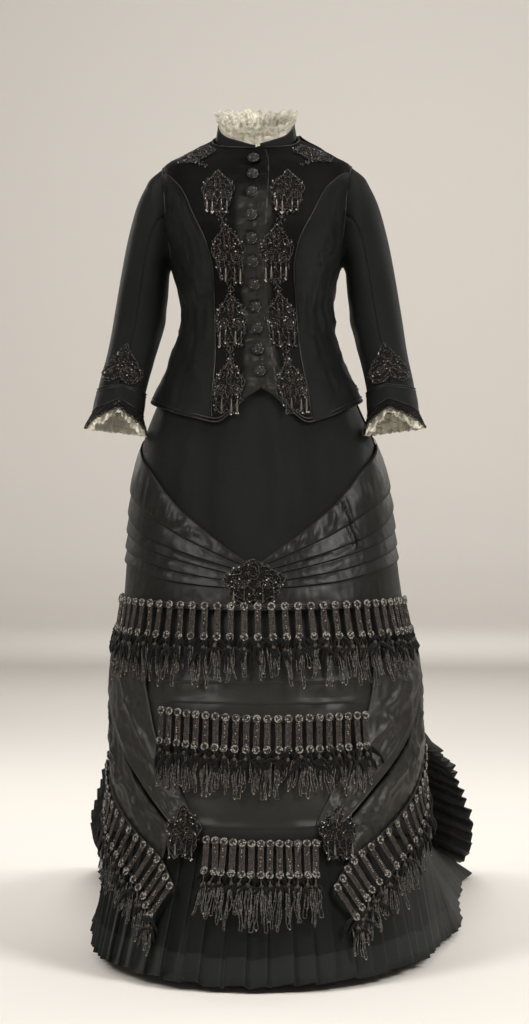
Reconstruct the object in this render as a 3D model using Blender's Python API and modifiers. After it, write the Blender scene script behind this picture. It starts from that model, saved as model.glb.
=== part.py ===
"""Mourning dress of black silk: a fitted, buttoned bodice over a long trained skirt.

The dress keeps its worn shape with nobody in it. Lengths are in metres and heights are taken
from the floor. The front faces -Y and the viewer's right is +X. One empty lowers the whole dress,
so that the world's origin lies on the shoulder line, where the wearer carries it.
"""

import bisect
import math
from collections import namedtuple

import bmesh
import bpy
from mathutils import Matrix, Vector

# Driving sizes
SHOULDER_LINE = 1.290  # height of the origin above the floor
WALL = 0.0015  # silk with its interlining
LACE_WALL = 0.0010
SEAM = 0.0004  # space left between two pieces that are sewn edge to edge
LAP = 0.0030  # rise of a piece that is sewn flat onto another
SIDES = {"left": -1, "right": 1}  # as the viewer sees them


# Reading tables

def hermite(start, start_slope, end, end_slope, t):
    """A cubic between two values with given slopes, at t from 0 to 1."""
    return (
        start * (1 + 2 * t) * (1 - t) ** 2
        + start_slope * t * (1 - t) ** 2
        + end * t * t * (3 - 2 * t)
        + end_slope * t * t * (t - 1)
    )


def slope(rows, i, column):
    """The slope of a column at row i; flat where the column turns, so that it never overshoots."""
    steps = [
        (rows[k + 1][column] - rows[k][column]) / (rows[k + 1][0] - rows[k][0])
        for k in (i - 1, i)
        if 0 <= k < len(rows) - 1
    ]
    if len(steps) == 1:
        return steps[0]
    if steps[0] * steps[1] <= 0:
        return 0.0
    return 2 * steps[0] * steps[1] / (steps[0] + steps[1])


def read(table, at):
    """The row of a table at a place between its rows, on a smooth curve through them."""
    keys = [row[0] for row in table]
    at = min(max(at, keys[0]), keys[-1])
    i = min(bisect.bisect_right(keys, at) - 1, len(table) - 2)
    low, high = table[i], table[i + 1]
    span = high[0] - low[0]
    t = (at - low[0]) / span
    values = [
        hermite(low[c], slope(table, i, c) * span, high[c], slope(table, i + 1, c) * span, t)
        for c in range(1, len(low))
    ]
    return type(low)(at, *values)


def mix(a, b, t):
    return a + (b - a) * t


def ease(t):
    """0 below t = 0, 1 above t = 1, and smooth between."""
    t = min(max(t, 0.0), 1.0)
    return t * t * (3 - 2 * t)


# The two worn forms: the bodice and the skirt

Section = namedtuple("Section", "z half_width front back shift")

BODICE = (
    Section(0.840, 0.1880, 0.1460, 0.1740, 0),
    Section(0.905, 0.1640, 0.1300, 0.1560, 0),
    Section(0.930, 0.1515, 0.1220, 0.1410, 0),
    Section(0.956, 0.1400, 0.1140, 0.1260, 0),
    Section(0.990, 0.1285, 0.1040, 0.1110, 0),
    Section(1.010, 0.1245, 0.0985, 0.1040, 0),
    Section(1.036, 0.1215, 0.0950, 0.0990, 0),
    Section(1.070, 0.1270, 0.1030, 0.1000, 0),
    Section(1.105, 0.1350, 0.1140, 0.1030, 0),
    Section(1.135, 0.1430, 0.1210, 0.1060, 0),
    Section(1.165, 0.1500, 0.1235, 0.1085, 0),
    Section(1.200, 0.1560, 0.1130, 0.1095, 0),
    Section(1.240, 0.1580, 0.0960, 0.1060, 0),
    Section(1.269, 0.1520, 0.0820, 0.0980, 0),
    Section(1.285, 0.1260, 0.0700, 0.0880, 0),
    Section(1.300, 0.0980, 0.0600, 0.0790, 0),
    Section(1.318, 0.0660, 0.0520, 0.0680, 0),
    Section(1.335, 0.0600, 0.0480, 0.0620, 0),
)

SKIRT = (
    Section(0.000, 0.2850, 0.4080, 0.4700, 0.0160),
    Section(0.050, 0.2790, 0.3780, 0.4550, 0.0160),
    Section(0.100, 0.2720, 0.3480, 0.4400, 0.0160),
    Section(0.150, 0.2630, 0.3150, 0.4250, 0.0160),
    Section(0.200, 0.2540, 0.2830, 0.4100, 0.0160),
    Section(0.270, 0.2500, 0.2630, 0.3850, 0.0160),
    Section(0.340, 0.2480, 0.2450, 0.3500, 0.0160),
    Section(0.430, 0.2440, 0.2240, 0.3100, 0.0150),
    Section(0.500, 0.2350, 0.2080, 0.2800, 0.0120),
    Section(0.590, 0.2190, 0.1880, 0.2500, 0.0090),
    Section(0.657, 0.2130, 0.1730, 0.2320, 0.0070),
    Section(0.725, 0.2070, 0.1590, 0.2150, 0.0060),
    Section(0.762, 0.2020, 0.1510, 0.2040, 0.0050),
    Section(0.820, 0.1870, 0.1390, 0.1820, 0.0030),
    Section(0.853, 0.1740, 0.1320, 0.1680, 0.0010),
    Section(0.893, 0.1570, 0.1220, 0.1450, 0),
    Section(0.930, 0.1430, 0.1130, 0.1250, 0),
    Section(0.956, 0.1320, 0.1060, 0.1120, 0),
    Section(0.990, 0.1215, 0.0960, 0.0990, 0),
    Section(1.032, 0.1160, 0.0890, 0.0910, 0),
)


def on_section(form, angle, z):
    """A point of a form's horizontal section; the angle runs from the front towards +X."""
    row = read(form, z)
    turn = math.radians(angle)
    depth = row.front if math.cos(turn) > 0 else row.back
    return Vector((row.shift + row.half_width * math.sin(turn), -depth * math.cos(turn), z))


def outward(form, angle, z):
    """The form's outward normal."""
    across = on_section(form, angle + 1, z) - on_section(form, angle - 1, z)
    low, high = max(z - 0.004, form[0].z), min(z + 0.004, form[-1].z)
    upward = on_section(form, angle, high) - on_section(form, angle, low)
    return across.cross(upward).normalized()


def on_form(form, angle, z, lift=0.0):
    return on_section(form, angle, z) + outward(form, angle, z) * lift


def half_seam(form, z):
    """Half a seam's space, as an angle; the shoulder seam bends more and takes twice as much."""
    space = SEAM if z < SHOULDER_POINT else 2 * SEAM
    return math.degrees(space / 2 / read(form, z).half_width)


# Materials

Finish = namedtuple("Finish", "name colour roughness metallic")

FAILLE = Finish("black_faille", (0.020, 0.022, 0.021), 0.62, 0.0)
SATIN = Finish("black_satin", (0.026, 0.026, 0.024), 0.34, 0.0)
CREAM_LACE = Finish("cream_lace", (0.78, 0.70, 0.55), 0.85, 0.0)
BLACK_LACE = Finish("black_lace", (0.018, 0.016, 0.015), 0.70, 0.0)
JET = Finish("jet_beads", (0.030, 0.024, 0.020), 0.16, 0.0)
FRINGE = Finish("beaded_fringe", (0.075, 0.060, 0.050), 0.45, 0.0)
BUTTON = Finish("button_cord", (0.028, 0.026, 0.025), 0.50, 0.0)


def material(finish):
    found = bpy.data.materials.get(finish.name)
    if found:
        return found
    made = bpy.data.materials.new(finish.name)
    made.use_nodes = True
    shader = made.node_tree.nodes["Principled BSDF"]
    shader.inputs["Base Color"].default_value = (*finish.colour, 1)
    shader.inputs["Roughness"].default_value = finish.roughness
    shader.inputs["Metallic"].default_value = finish.metallic
    return made


# Making objects

def start_scene():
    for obj in list(bpy.data.objects):
        bpy.data.objects.remove(obj)
    group = bpy.data.collections.new("mourning_dress")
    bpy.context.scene.collection.children.link(group)
    carrier = bpy.data.objects.new("shoulder_line", None)
    carrier.location = (0, 0, -SHOULDER_LINE)
    group.objects.link(carrier)
    return group, carrier


GROUP, CARRIER = start_scene()


def place(name, mesh, finish):
    """Puts a mesh in the dress as one named piece."""
    mesh.materials.append(material(finish))
    obj = bpy.data.objects.new(name, mesh)
    GROUP.objects.link(obj)
    obj.parent = CARRIER
    return obj


def cloth(name, rows, finish, wall=WALL, ring=False, cut=()):
    """A sheet through rows of points, thickened evenly to both sides; cut lists open cells."""
    columns = len(rows[0])
    cells = columns if ring else columns - 1
    faces = [
        (
            r * columns + c,
            r * columns + (c + 1) % columns,
            (r + 1) * columns + (c + 1) % columns,
            (r + 1) * columns + c,
        )
        for r in range(len(rows) - 1)
        for c in range(cells)
        if (r, c) not in cut
    ]
    mesh = bpy.data.meshes.new(name)
    mesh.from_pydata([point for row in rows for point in row], [], faces)
    obj = place(name, mesh, finish)
    thicken = obj.modifiers.new("wall", "SOLIDIFY")
    thicken.thickness = wall
    thicken.offset = 0
    return obj


def settled(obj):
    """Replaces an object's mesh by what its modifiers make of it, so that it can be edited."""
    bpy.context.view_layer.update()
    evaluated = obj.evaluated_get(bpy.context.evaluated_depsgraph_get())
    mesh = bpy.data.meshes.new_from_object(evaluated)
    obj.modifiers.clear()
    obj.data = mesh
    return obj


Stage = namedtuple("Stage", "centre along out width depth")


def hang_strands(obj, strands):
    """Draws strands of four sides out of an object's rim, each from the face nearest its root."""
    bm = bmesh.new()
    bm.from_mesh(obj.data)
    for root, stages in strands:
        bm.faces.ensure_lookup_table()
        face = min(bm.faces, key=lambda f: (f.calc_center_median() - root).length)
        for stage in stages:
            middle = face.calc_center_median()
            sides = [
                (
                    math.copysign(0.5, (v.co - middle).dot(stage.along)),
                    math.copysign(0.5, (v.co - middle).dot(stage.out)),
                )
                for v in face.verts
            ]
            face = bmesh.ops.extrude_discrete_faces(bm, faces=[face])["faces"][0]
            for vert, (across, away) in zip(face.verts, sides):
                vert.co = (
                    stage.centre
                    + stage.along * across * stage.width
                    + stage.out * away * stage.depth
                )
    bm.to_mesh(obj.data)
    bm.free()


# Bodice: seams and edges, as angles or heights

ARMHOLE_HEIGHT = 1.187  # its middle
ARMHOLE_RISE = 0.082  # from its middle to its top
ARMHOLE_FRONT = 0.043
ARMHOLE_BACK = 0.049

# One list of heights for every bodice panel, so that seams meet point for point
BODICE_HEIGHTS = (
    0.930, 0.965, 1.000, 1.036, 1.070, 1.105, 1.115, 1.135,
    1.187, 1.225, 1.250, 1.258, 1.269, 1.285,
)
ARMPIT = 1.105
SHOULDER_POINT = 1.269
SIDE_FRONT_TOP = 1.258
SIDE_BACK_TOP = 1.187

Edge = namedtuple("Edge", "at angle")

VEST_EDGE = (  # corded seam between the satin vest and the side front
    Edge(0.840, 25), Edge(0.900, 27), Edge(0.956, 29), Edge(1.036, 32), Edge(1.105, 28.5),
    Edge(1.135, 30), Edge(1.187, 38), Edge(1.225, 46), Edge(1.250, 60), Edge(1.258, 74.7),
    Edge(1.269, 90), Edge(1.340, 90),
)

BACK_SEAM = (  # curved seam of the back, from the armhole to the hem
    Edge(0.840, 150), Edge(0.930, 154), Edge(1.036, 160), Edge(1.070, 155),
    Edge(1.115, 142), Edge(1.135, 136), Edge(1.187, 117.5), Edge(1.340, 117.5),
)

Height = namedtuple("Height", "angle z")

FRONT_HEM = (  # two points under the vest, rising to the sides
    Height(0, 0.907), Height(7, 0.896), Height(16, 0.874), Height(26, 0.853),
    Height(36, 0.860), Height(60, 0.878), Height(90, 0.892),
)
BACK_HEM = (Height(90, 0.910), Height(120, 0.900), Height(150, 0.880), Height(180, 0.868))
NECKLINE = (Height(0, 1.294), Height(30, 1.298), Height(60, 1.310), Height(90, 1.318),
            Height(135, 1.326), Height(180, 1.329))
CLOSING = 3.0  # the buttoned edge stands this many degrees to the right of the middle


def armhole_edge(z, side):
    """The angle at which a panel stops at the armhole; side is -1 in front, 1 behind."""
    share = math.sqrt(max(0.0, 1 - ((z - ARMHOLE_HEIGHT) / ARMHOLE_RISE) ** 2))
    row = read(BODICE, z)
    if side < 0:
        return 90 - math.degrees(math.asin(ARMHOLE_FRONT * share / row.front))
    return 90 + math.degrees(math.asin(ARMHOLE_BACK * share / row.back))


def side_edge(z, side):
    """Side seam below the armpit, armhole above it, shoulder seam on top."""
    return armhole_edge(z, side) if ARMPIT < z < SHOULDER_POINT else 90.0


def vest_outer_edge(z):
    return min(read(VEST_EDGE, z).angle, 90.0)


def back_outer_edge(z):
    if z <= SIDE_BACK_TOP:
        return read(BACK_SEAM, z).angle
    return side_edge(z, 1)


def bodice_panel(name, side, inner, outer, hem, top, columns, finish):
    """A bodice panel between two seams, from its hem up to a height or to the neckline."""
    heights = [None] + [z for z in BODICE_HEIGHTS if top is None or z <= top]
    if top is None:
        heights.append(None)
    rows = []
    for k, height in enumerate(heights):
        level = height or (0.880 if k == 0 else 1.318)
        gap = half_seam(BODICE, level)
        low, high = inner(level) + gap, outer(level) - gap
        row = []
        for c in range(columns + 1):
            angle = mix(low, high, c / columns)
            z = height or read(hem if k == 0 else NECKLINE, abs(angle)).z
            if top and height == top:
                z -= 4 * SEAM  # its top lies along the seam, which is almost level there
            row.append(on_form(BODICE, side * angle, z))
        rows.append(row if side > 0 else row[::-1])
    return cloth(name, rows, finish)


def on_front(angle, z, lift):
    """A point over the flat facets of the bodice's front, between two of its rows."""
    heights = [read(FRONT_HEM, abs(angle)).z, *BODICE_HEIGHTS, read(NECKLINE, abs(angle)).z]
    k = max(i for i in range(len(heights) - 1) if heights[i] <= z or i == 0)
    low, high = heights[k], heights[k + 1]
    share = (z - low) / (high - low)
    spot = on_form(BODICE, angle, low).lerp(on_form(BODICE, angle, high), share)
    return spot + outward(BODICE, angle, z) * lift


def build_bodice():
    for word, side in SIDES.items():
        bodice_panel(
            f"vest_{word}", side, lambda z, s=side: s * CLOSING, vest_outer_edge,
            FRONT_HEM, None, 5, SATIN,
        )
        bodice_panel(
            f"side_front_{word}", side, vest_outer_edge, lambda z: side_edge(z, -1),
            FRONT_HEM, SIDE_FRONT_TOP, 4, FAILLE,
        )
        bodice_panel(
            f"side_back_{word}", side, lambda z: side_edge(z, 1), lambda z: read(BACK_SEAM, z).angle,
            BACK_HEM, SIDE_BACK_TOP, 4, FAILLE,
        )
        bodice_panel(
            f"back_{word}", side, back_outer_edge, lambda z: 180.0,
            BACK_HEM, None, 4, FAILLE,
        )


# Sleeves: two-piece, cut to a bent arm

SleeveRing = namedtuple("SleeveRing", "down outer_x outer_z inner_x inner_z middle_y half_depth")

SLEEVE = (  # down counts the rings below the armhole
    SleeveRing(1, 0.1760, 1.2480, 0.1404, 1.1072, 0.0030, 0.0490),
    SleeveRing(2, 0.1945, 1.2100, 0.1440, 1.0985, 0.0040, 0.0510),
    SleeveRing(3, 0.2090, 1.1600, 0.1455, 1.0810, 0.0060, 0.0500),
    SleeveRing(4, 0.2230, 1.0900, 0.1480, 1.0450, 0.0100, 0.0470),
    SleeveRing(5, 0.2350, 1.0220, 0.1540, 1.0060, 0.0080, 0.0450),
    SleeveRing(6, 0.2440, 0.9640, 0.1690, 0.9560, -0.0060, 0.0420),
    SleeveRing(7, 0.2510, 0.9280, 0.1765, 0.9180, -0.0210, 0.0400),
    SleeveRing(8, 0.2560, 0.8990, 0.1805, 0.8920, -0.0330, 0.0400),
    SleeveRing(9, 0.2605, 0.8720, 0.1820, 0.8640, -0.0450, 0.0405),
    SleeveRing(10, 0.2640, 0.8450, 0.1820, 0.8350, -0.0560, 0.0420),
)
SLEEVE_END = 8.0  # the cuff band takes over here
CUFF_END = 9.0
CUFF_PEAK = 0.010  # rise of the pointed cuff at its front


def armhole_turns():
    """A sleeve's columns over half its armhole: turns that meet the panels' own points, each
    marked True, and turns halfway between the widest of them."""
    heights = [z for z in BODICE_HEIGHTS if ARMPIT < z < SHOULDER_POINT and z != SIDE_FRONT_TOP]
    met = [
        math.degrees(math.acos((z - ARMHOLE_HEIGHT) / ARMHOLE_RISE)) for z in reversed(heights)
    ]
    met = [0.0, *met, 180.0]
    turns = []
    for low, high in zip(met, met[1:]):
        turns.append((low, low, low, 0.0))
        if high - low > 26:
            turns.append(((low + high) / 2, low, high, 0.5))
    return turns + [(180.0, 180.0, 180.0, 0.0)]


def armhole_point(side, turn, inset):
    """A point of the armhole, drawn in by inset; turn is 0 at the shoulder and 90 in front."""
    z = ARMHOLE_HEIGHT + (ARMHOLE_RISE - inset) * math.cos(math.radians(turn))
    across = math.sin(math.radians(turn))
    y = -across * ((ARMHOLE_FRONT if across > 0 else ARMHOLE_BACK) - inset)
    row = read(BODICE, z)
    depth = row.front if y < 0 else row.back
    return Vector((side * row.half_width * math.sqrt(1 - (y / depth) ** 2), y, z))


def sleeve_point(side, down, turn, grow=0.0):
    """A point of the sleeve at a ring's place; grow widens the ring."""
    row = read(SLEEVE, down)
    outer = Vector((side * row.outer_x, row.middle_y, row.outer_z))
    inner = Vector((side * row.inner_x, row.middle_y, row.inner_z))
    spoke = (outer - inner) / 2
    spoke *= (spoke.length + grow) / spoke.length
    across = Vector((0, -(row.half_depth + grow), 0))
    turn = math.radians(turn)
    return (outer + inner) / 2 + spoke * math.cos(turn) + across * math.sin(turn)


def cuff_rise(turn):
    """How far the cuff's edges rise towards the front of the arm, in rings."""
    return -CUFF_PEAK / 0.027 * max(0.0, math.sin(math.radians(turn))) ** 1.5


def sleeve_rows(side, columns):
    """Rows of points down a sleeve; between two of the panels' points the first row is straight."""
    inset = SEAM + WALL / 2
    rows = [
        [
            armhole_point(side, low, inset).lerp(armhole_point(side, high, inset), share)
            for turn, low, high, share in columns
        ]
    ]
    for down in (1, 2, 3, 4, 5, 6, 7, SLEEVE_END):
        at_end = down == SLEEVE_END
        rows.append(
            [sleeve_point(side, down + (cuff_rise(c[0]) if at_end else 0), c[0]) for c in columns]
        )
    return rows


def build_sleeves():
    front = armhole_turns()
    middle = front.index(min(front, key=lambda c: abs(c[0] - 90)))
    behind = [(360 - turn, 360 - low, 360 - high, share) for turn, low, high, share in front]
    over = [(c[0] - 360, *c[1:]) for c in behind[middle:0:-1]] + front[: middle + 1]
    under = front[middle:] + behind[-2 : middle - 1 : -1]
    nudge = 0.4  # degrees that leave the two sleeve seams open by their space
    for word, side in SIDES.items():
        for part, columns in (("over", over), ("under", under)):
            first, last = columns[0], columns[-1]
            first = (first[0] + nudge, first[1] + nudge, first[2] + nudge, 0.0)
            last = (last[0] - nudge, last[1] - nudge, last[2] - nudge, 0.0)
            rows = sleeve_rows(side, [first, *columns[1:-1], last])
            if side > 0:
                rows = [row[::-1] for row in rows]
            cloth(f"sleeve_{part}_{word}", rows[::-1], FAILLE)


def build_cuffs():
    count = 20
    turns = [360 * k / count for k in range(count)]
    for word, side in SIDES.items():
        def ring(down, grow, peak=1.0):
            points = [
                sleeve_point(side, down + peak * cuff_rise(t), t, grow) for t in turns
            ]
            return points if side < 0 else points[::-1]

        band = [ring(CUFF_END, 0.0010), ring(8.5, 0.0016), ring(SLEEVE_END + 0.02, 0.0010)]
        cloth(f"cuff_band_{word}", band, SATIN, ring=True)


LACE_COLUMNS = 20
CUFF_WAVES = 14


def build_cuff_lace():
    """Black lace falls from the cuff over a deeper ruffle of cream lace."""
    for word, side in SIDES.items():
        rows = []
        for down, grow, scallop in ((9.62, 0.0085, 1), (9.36, 0.0050, 0), (9.03, 0.0014, 0)):
            row = []
            for k in range(LACE_COLUMNS):
                turn = 360 * k / LACE_COLUMNS
                drop = 0.16 * scallop * (k % 2)
                row.append(sleeve_point(side, down + drop + cuff_rise(turn), turn, grow))
            rows.append(row if side < 0 else row[::-1])
        eyes = [(0, c) for c in range(0, LACE_COLUMNS, 2)]
        cloth(f"black_lace_{word}", rows, BLACK_LACE, LACE_WALL, True, eyes)

        rows = []
        for down, grow, swing in ((10.0, 0.0020, 0.0055), (9.4, -0.0008, 0.0030), (8.86, -0.0018, 0)):
            row = []
            for k in range(2 * CUFF_WAVES):
                turn = 180 * k / CUFF_WAVES
                wave = swing * (-1) ** k
                row.append(sleeve_point(side, down + 0.6 * cuff_rise(turn), turn, grow + wave))
            rows.append(row if side < 0 else row[::-1])
        cloth(f"cream_ruffle_{word}", rows, CREAM_LACE, LACE_WALL, ring=True)


# Neck: a standing collar with a cream ruffle inside it

COLLAR_HEIGHT = (Height(0, 0.010), Height(25, 0.014), Height(60, 0.020), Height(180, 0.022))
COLLAR_LEAN = 0.16  # inward lean for each unit of height
RUFFLE_WAVES = 16


def neck_point(angle, rise, inset):
    """A point above the neckline, drawn in towards the neck's axis."""
    base = on_section(BODICE, angle, read(NECKLINE, abs(angle)).z)
    inward = Vector((-base.x, -(base.y - 0.004), 0)).normalized()
    return base + inward * (inset + COLLAR_LEAN * rise) + Vector((0, 0, rise))


def build_collar():
    angles = [CLOSING + 2 + (360 - 4) * k / 24 for k in range(25)]
    angles = [a - 360 if a > 180 else a for a in angles]
    foot = 2 * WALL  # it stands just inside the neckline
    rows = [
        [neck_point(a, 0.0006, foot) for a in angles],
        [neck_point(a, read(COLLAR_HEIGHT, abs(a)).z, foot) for a in angles],
    ]
    cloth("collar", rows, FAILLE)


def build_neck_ruffle():
    count = 2 * RUFFLE_WAVES
    inside = 0.0074
    rows = []
    for share, swing, flare in ((0.25, 0.0010, 0.0), (0.9, 0.0014, 0.0), (1.9, 0.0045, 0.0040)):
        row = []
        for k in range(count):
            angle = (360 * k / count + 180) % 360 - 180
            rise = read(COLLAR_HEIGHT, abs(angle)).z * share
            if share > 1:
                rise += 0.006
            row.append(neck_point(angle, rise, inside - flare - swing * (-1) ** k))
        rows.append(row)
    cloth("neck_ruffle", rows, CREAM_LACE, LACE_WALL, ring=True)


# Buttons and beaded trimming

BUTTON_HEIGHTS = (
    1.2730, 1.2470, 1.2170, 1.1795, 1.1440, 1.1080, 1.0730, 1.0370, 1.0020, 0.9680, 0.9330,
)
BUTTON_RADIUS = 0.0090
BUTTON_DEPTH = 0.0045  # half its thickness


def build_buttons():
    for number, z in enumerate(BUTTON_HEIGHTS, 1):
        bm = bmesh.new()
        bmesh.ops.create_uvsphere(bm, u_segments=8, v_segments=3, radius=1)
        mesh = bpy.data.meshes.new("button")
        bm.to_mesh(mesh)
        bm.free()
        mesh.transform(Matrix.Diagonal((BUTTON_RADIUS, BUTTON_RADIUS, BUTTON_DEPTH, 1)))
        button = place(f"button_{number:02d}", mesh, BUTTON)
        lift = WALL / 2 + SEAM + BUTTON_DEPTH
        button.location = on_front(0, z, lift)
        button.rotation_euler = outward(BODICE, 0, z).to_track_quat("Z", "Y").to_euler()


Motif = namedtuple("Motif", "name form angle z half_width half_height drops drop_length lift drop_lift")

MOTIFS = (
    Motif("shoulder", "bodice", 46, 1.283, 0.021, 0.013, 0, 0.000, 0.0028, 0.0000),
    Motif("breast", "bodice", 21, 1.222, 0.027, 0.022, 3, 0.014, 0.0032, 0.0054),
    Motif("bust", "bodice", 15, 1.139, 0.024, 0.024, 3, 0.040, 0.0030, 0.0054),
    Motif("waist", "bodice", 20, 1.006, 0.024, 0.024, 3, 0.016, 0.0030, 0.0054),
    Motif("basque", "bodice", 19, 0.911, 0.022, 0.026, 3, 0.024, 0.0030, 0.0054),
    Motif("tablier", "skirt", 27, 0.230, 0.026, 0.027, 3, 0.036, 0.0104, 0.0130),
)
CENTRE_MOTIF = Motif("swag", "skirt", 0, 0.606, 0.046, 0.028, 3, 0.034, 0.0092, 0.0168)
PAD = 0.0034  # thickness of a beaded pad
FORMS = {"bodice": BODICE, "skirt": SKIRT}
LOBES = 4
RIM_POINTS = 12
DROP_WIDTH = 0.0050


def build_motif(name, motif, side):
    """A lobed, domed pad of beadwork with drops hanging from its lower rim."""
    form = FORMS[motif.form]
    centre_angle = side * motif.angle

    def point(across, up, lift):
        z = motif.z + up
        width = read(form, motif.z).half_width * max(0.3, math.cos(math.radians(motif.angle)))
        angle = centre_angle + math.degrees(across / width)
        return on_front(angle, z, lift) if form is BODICE else on_form(form, angle, z, lift)

    spots = [point(0, 0, motif.lift + 0.0016)]
    for k in range(RIM_POINTS):
        turn = 2 * math.pi * (k + 0.5) / RIM_POINTS
        reach = 1 + 0.14 * math.cos(LOBES * turn)
        spots.append(
            point(
                motif.half_width * reach * math.sin(turn),
                -motif.half_height * reach * math.cos(turn),
                motif.lift,
            )
        )
    faces = [(0, 1 + k, 1 + (k + 1) % RIM_POINTS) for k in range(RIM_POINTS)]
    mesh = bpy.data.meshes.new(name)
    mesh.from_pydata(spots, [], faces)
    pad = place(name, mesh, JET)
    thicken = pad.modifiers.new("wall", "SOLIDIFY")
    thicken.thickness = PAD
    thicken.offset = 0
    settled(pad)

    strands = []
    for k in range(motif.drops):
        first = (k - 2) % RIM_POINTS + 1
        root = (spots[first] + spots[first % RIM_POINTS + 1]) / 2
        across = motif.half_width * 0.5 * (k - 1)
        foot = -1.1 * motif.half_height
        out = outward(form, centre_angle, motif.z)
        along = Vector((0, 0, 1)).cross(out).normalized()
        stages = [
            Stage(point(across, foot - 0.4 * motif.drop_length, motif.drop_lift),
                  along, out, 0.0030, 0.0028),
            Stage(point(across, foot - motif.drop_length, motif.drop_lift + 0.0006),
                  along, out, DROP_WIDTH, 0.0040),
        ]
        strands.append((root, stages))
    hang_strands(pad, strands)


def build_motifs():
    for motif in MOTIFS:
        for word, side in SIDES.items():
            build_motif(f"{motif.name}_motif_{word}", motif, side)
    build_motif("swag_motif", CENTRE_MOTIF, 1)
    for word, side in SIDES.items():
        build_sleeve_motif(word, side)


def build_sleeve_motif(word, side):
    """A lobed pad of beadwork on the front of the sleeve, above the cuff."""
    middle, down = 80.0, 6.80
    centre = sleeve_point(side, down, middle, 0.0064)
    spots = [centre]
    for k in range(RIM_POINTS):
        turn = 2 * math.pi * (k + 0.5) / RIM_POINTS
        reach = 1 + 0.14 * math.cos(LOBES * turn)
        spots.append(
            sleeve_point(
                side,
                down - 0.56 * reach * math.cos(turn),
                middle - side * 34 * reach * math.sin(turn),
                0.0044,
            )
        )
    faces = [(0, 1 + (k + 1) % RIM_POINTS, 1 + k) for k in range(RIM_POINTS)]
    mesh = bpy.data.meshes.new("sleeve_motif")
    mesh.from_pydata(spots, [], faces)
    pad = place(f"sleeve_motif_{word}", mesh, JET)
    thicken = pad.modifiers.new("wall", "SOLIDIFY")
    thicken.thickness = PAD
    thicken.offset = 0


# Skirt front: one breadth round the front and sides

FRONT_REACH = (  # its back edge, in degrees; below the knee it runs on under the train
    Edge(0.200, 128), Edge(0.300, 122), Edge(0.400, 112), Edge(0.520, 104), Edge(0.600, 101),
    Edge(1.040, 101),
)
SKIRT_HEIGHTS = (
    0.206, 0.226, 0.2305, 0.320, 0.412, 0.4165, 0.444, 0.4485, 0.510, 0.580, 0.650,
    0.720, 0.790, 0.850, 0.900, 0.950, 0.990, 1.032,
)
SKIRT_COLUMNS = 18
TUCKS = (0.2305, 0.4165, 0.4485)  # lower edges of flat tucks across the middle
TUCK_RISE = 0.0022


def tuck_lift(angle, z):
    """How far a tuck stands out of the skirt front at this height."""
    for foot in TUCKS:
        if abs(z - foot) < 1e-6:
            return TUCK_RISE * ease((44 - abs(angle)) / 8)
    return 0.0


def skirt_point(angle, z, lift=0.0):
    return on_form(SKIRT, angle, z, lift)


def build_skirt_front():
    rows = []
    for z in SKIRT_HEIGHTS:
        end = read(FRONT_REACH, z).angle
        angles = [mix(-end, end, c / SKIRT_COLUMNS) for c in range(SKIRT_COLUMNS + 1)]
        rows.append([skirt_point(a, z, tuck_lift(a, z)) for a in angles])
    cloth("skirt_front", rows, FAILLE)


# Train: two back breadths that leave the figure below the hip and spread on the floor

TrainEdge = namedtuple("TrainEdge", "along x y z free_x free_y free_z")

TRAIN = (  # the sewn edge of the train and the free edge of its frill, from side to middle
    TrainEdge(0, 0.2330, 0.200, 0.372, 0.2480, 0.300, 0.309),
    TrainEdge(1, 0.2240, 0.330, 0.345, 0.2780, 0.420, 0.281),
    TrainEdge(2, 0.2280, 0.455, 0.312, 0.3050, 0.520, 0.252),
    TrainEdge(3, 0.2380, 0.575, 0.272, 0.3260, 0.620, 0.219),
    TrainEdge(4, 0.2500, 0.695, 0.222, 0.3450, 0.730, 0.170),
    TrainEdge(5, 0.2600, 0.805, 0.166, 0.3670, 0.835, 0.115),
    TrainEdge(6, 0.2560, 0.910, 0.110, 0.3720, 0.950, 0.053),
    TrainEdge(7, 0.2260, 0.985, 0.070, 0.3480, 1.050, 0.004),
    TrainEdge(8, 0.1600, 1.025, 0.058, 0.2480, 1.125, 0.002),
    TrainEdge(9, 0.0820, 1.042, 0.056, 0.1270, 1.155, 0.002),
    TrainEdge(10, 0.000, 1.046, 0.056, 0.0000, 1.163, 0.002),
)
TRAIN_TOP = (0.580, 0.650, 0.720, 0.790, 0.850, 0.900, 0.950, 0.990, 1.032)  # on the figure
TRAIN_START = 98.0
FALL_STEPS = (1.0, 0.86, 0.70, 0.52, 0.34, 0.17)  # shares of the fall from the knee to the edge


def drift(y):
    """How far to the right the skirt's middle lies, from its front to the end of the train."""
    return mix(0.016, -0.020, ease((y - 0.2) / 0.8))


def train_edge(along, free=False):
    row = read(TRAIN, along)
    if free:
        return Vector((row.free_x, row.free_y, row.free_z))
    return Vector((row.x, row.y, row.z))


def train_fall(along, share):
    """The train from the height where it leaves the figure (share 0) to its sewn edge (1)."""
    angle = mix(TRAIN_START, 180, along / 10)
    start = skirt_point(angle, TRAIN_TOP[0], LAP)
    above = skirt_point(angle, TRAIN_TOP[0] + 0.01, LAP)
    start.x -= read(SKIRT, TRAIN_TOP[0]).shift
    above.x -= read(SKIRT, TRAIN_TOP[0] + 0.01).shift
    end = train_edge(along)
    reach = (end - start).length
    down = (start - above).normalized() * reach * 0.9
    away = (train_edge(along, True) - end).normalized() * reach * 0.8
    fall = [hermite(start[i], down[i], end[i], away[i], share) for i in range(3)]
    return clear_of_skirt(Vector(fall))


def clear_of_skirt(point):
    """Moves a point of the train outwards until it lies over the skirt."""
    row = read(SKIRT, max(point.z, SKIRT_HEIGHTS[0]))
    size = math.hypot(point.x / row.half_width, point.y / (row.back if point.y > 0 else row.front))
    least = 1 + 1.6 * LAP / row.half_width
    if size < least:
        point.x *= least / size
        point.y *= least / size
    return point


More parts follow.
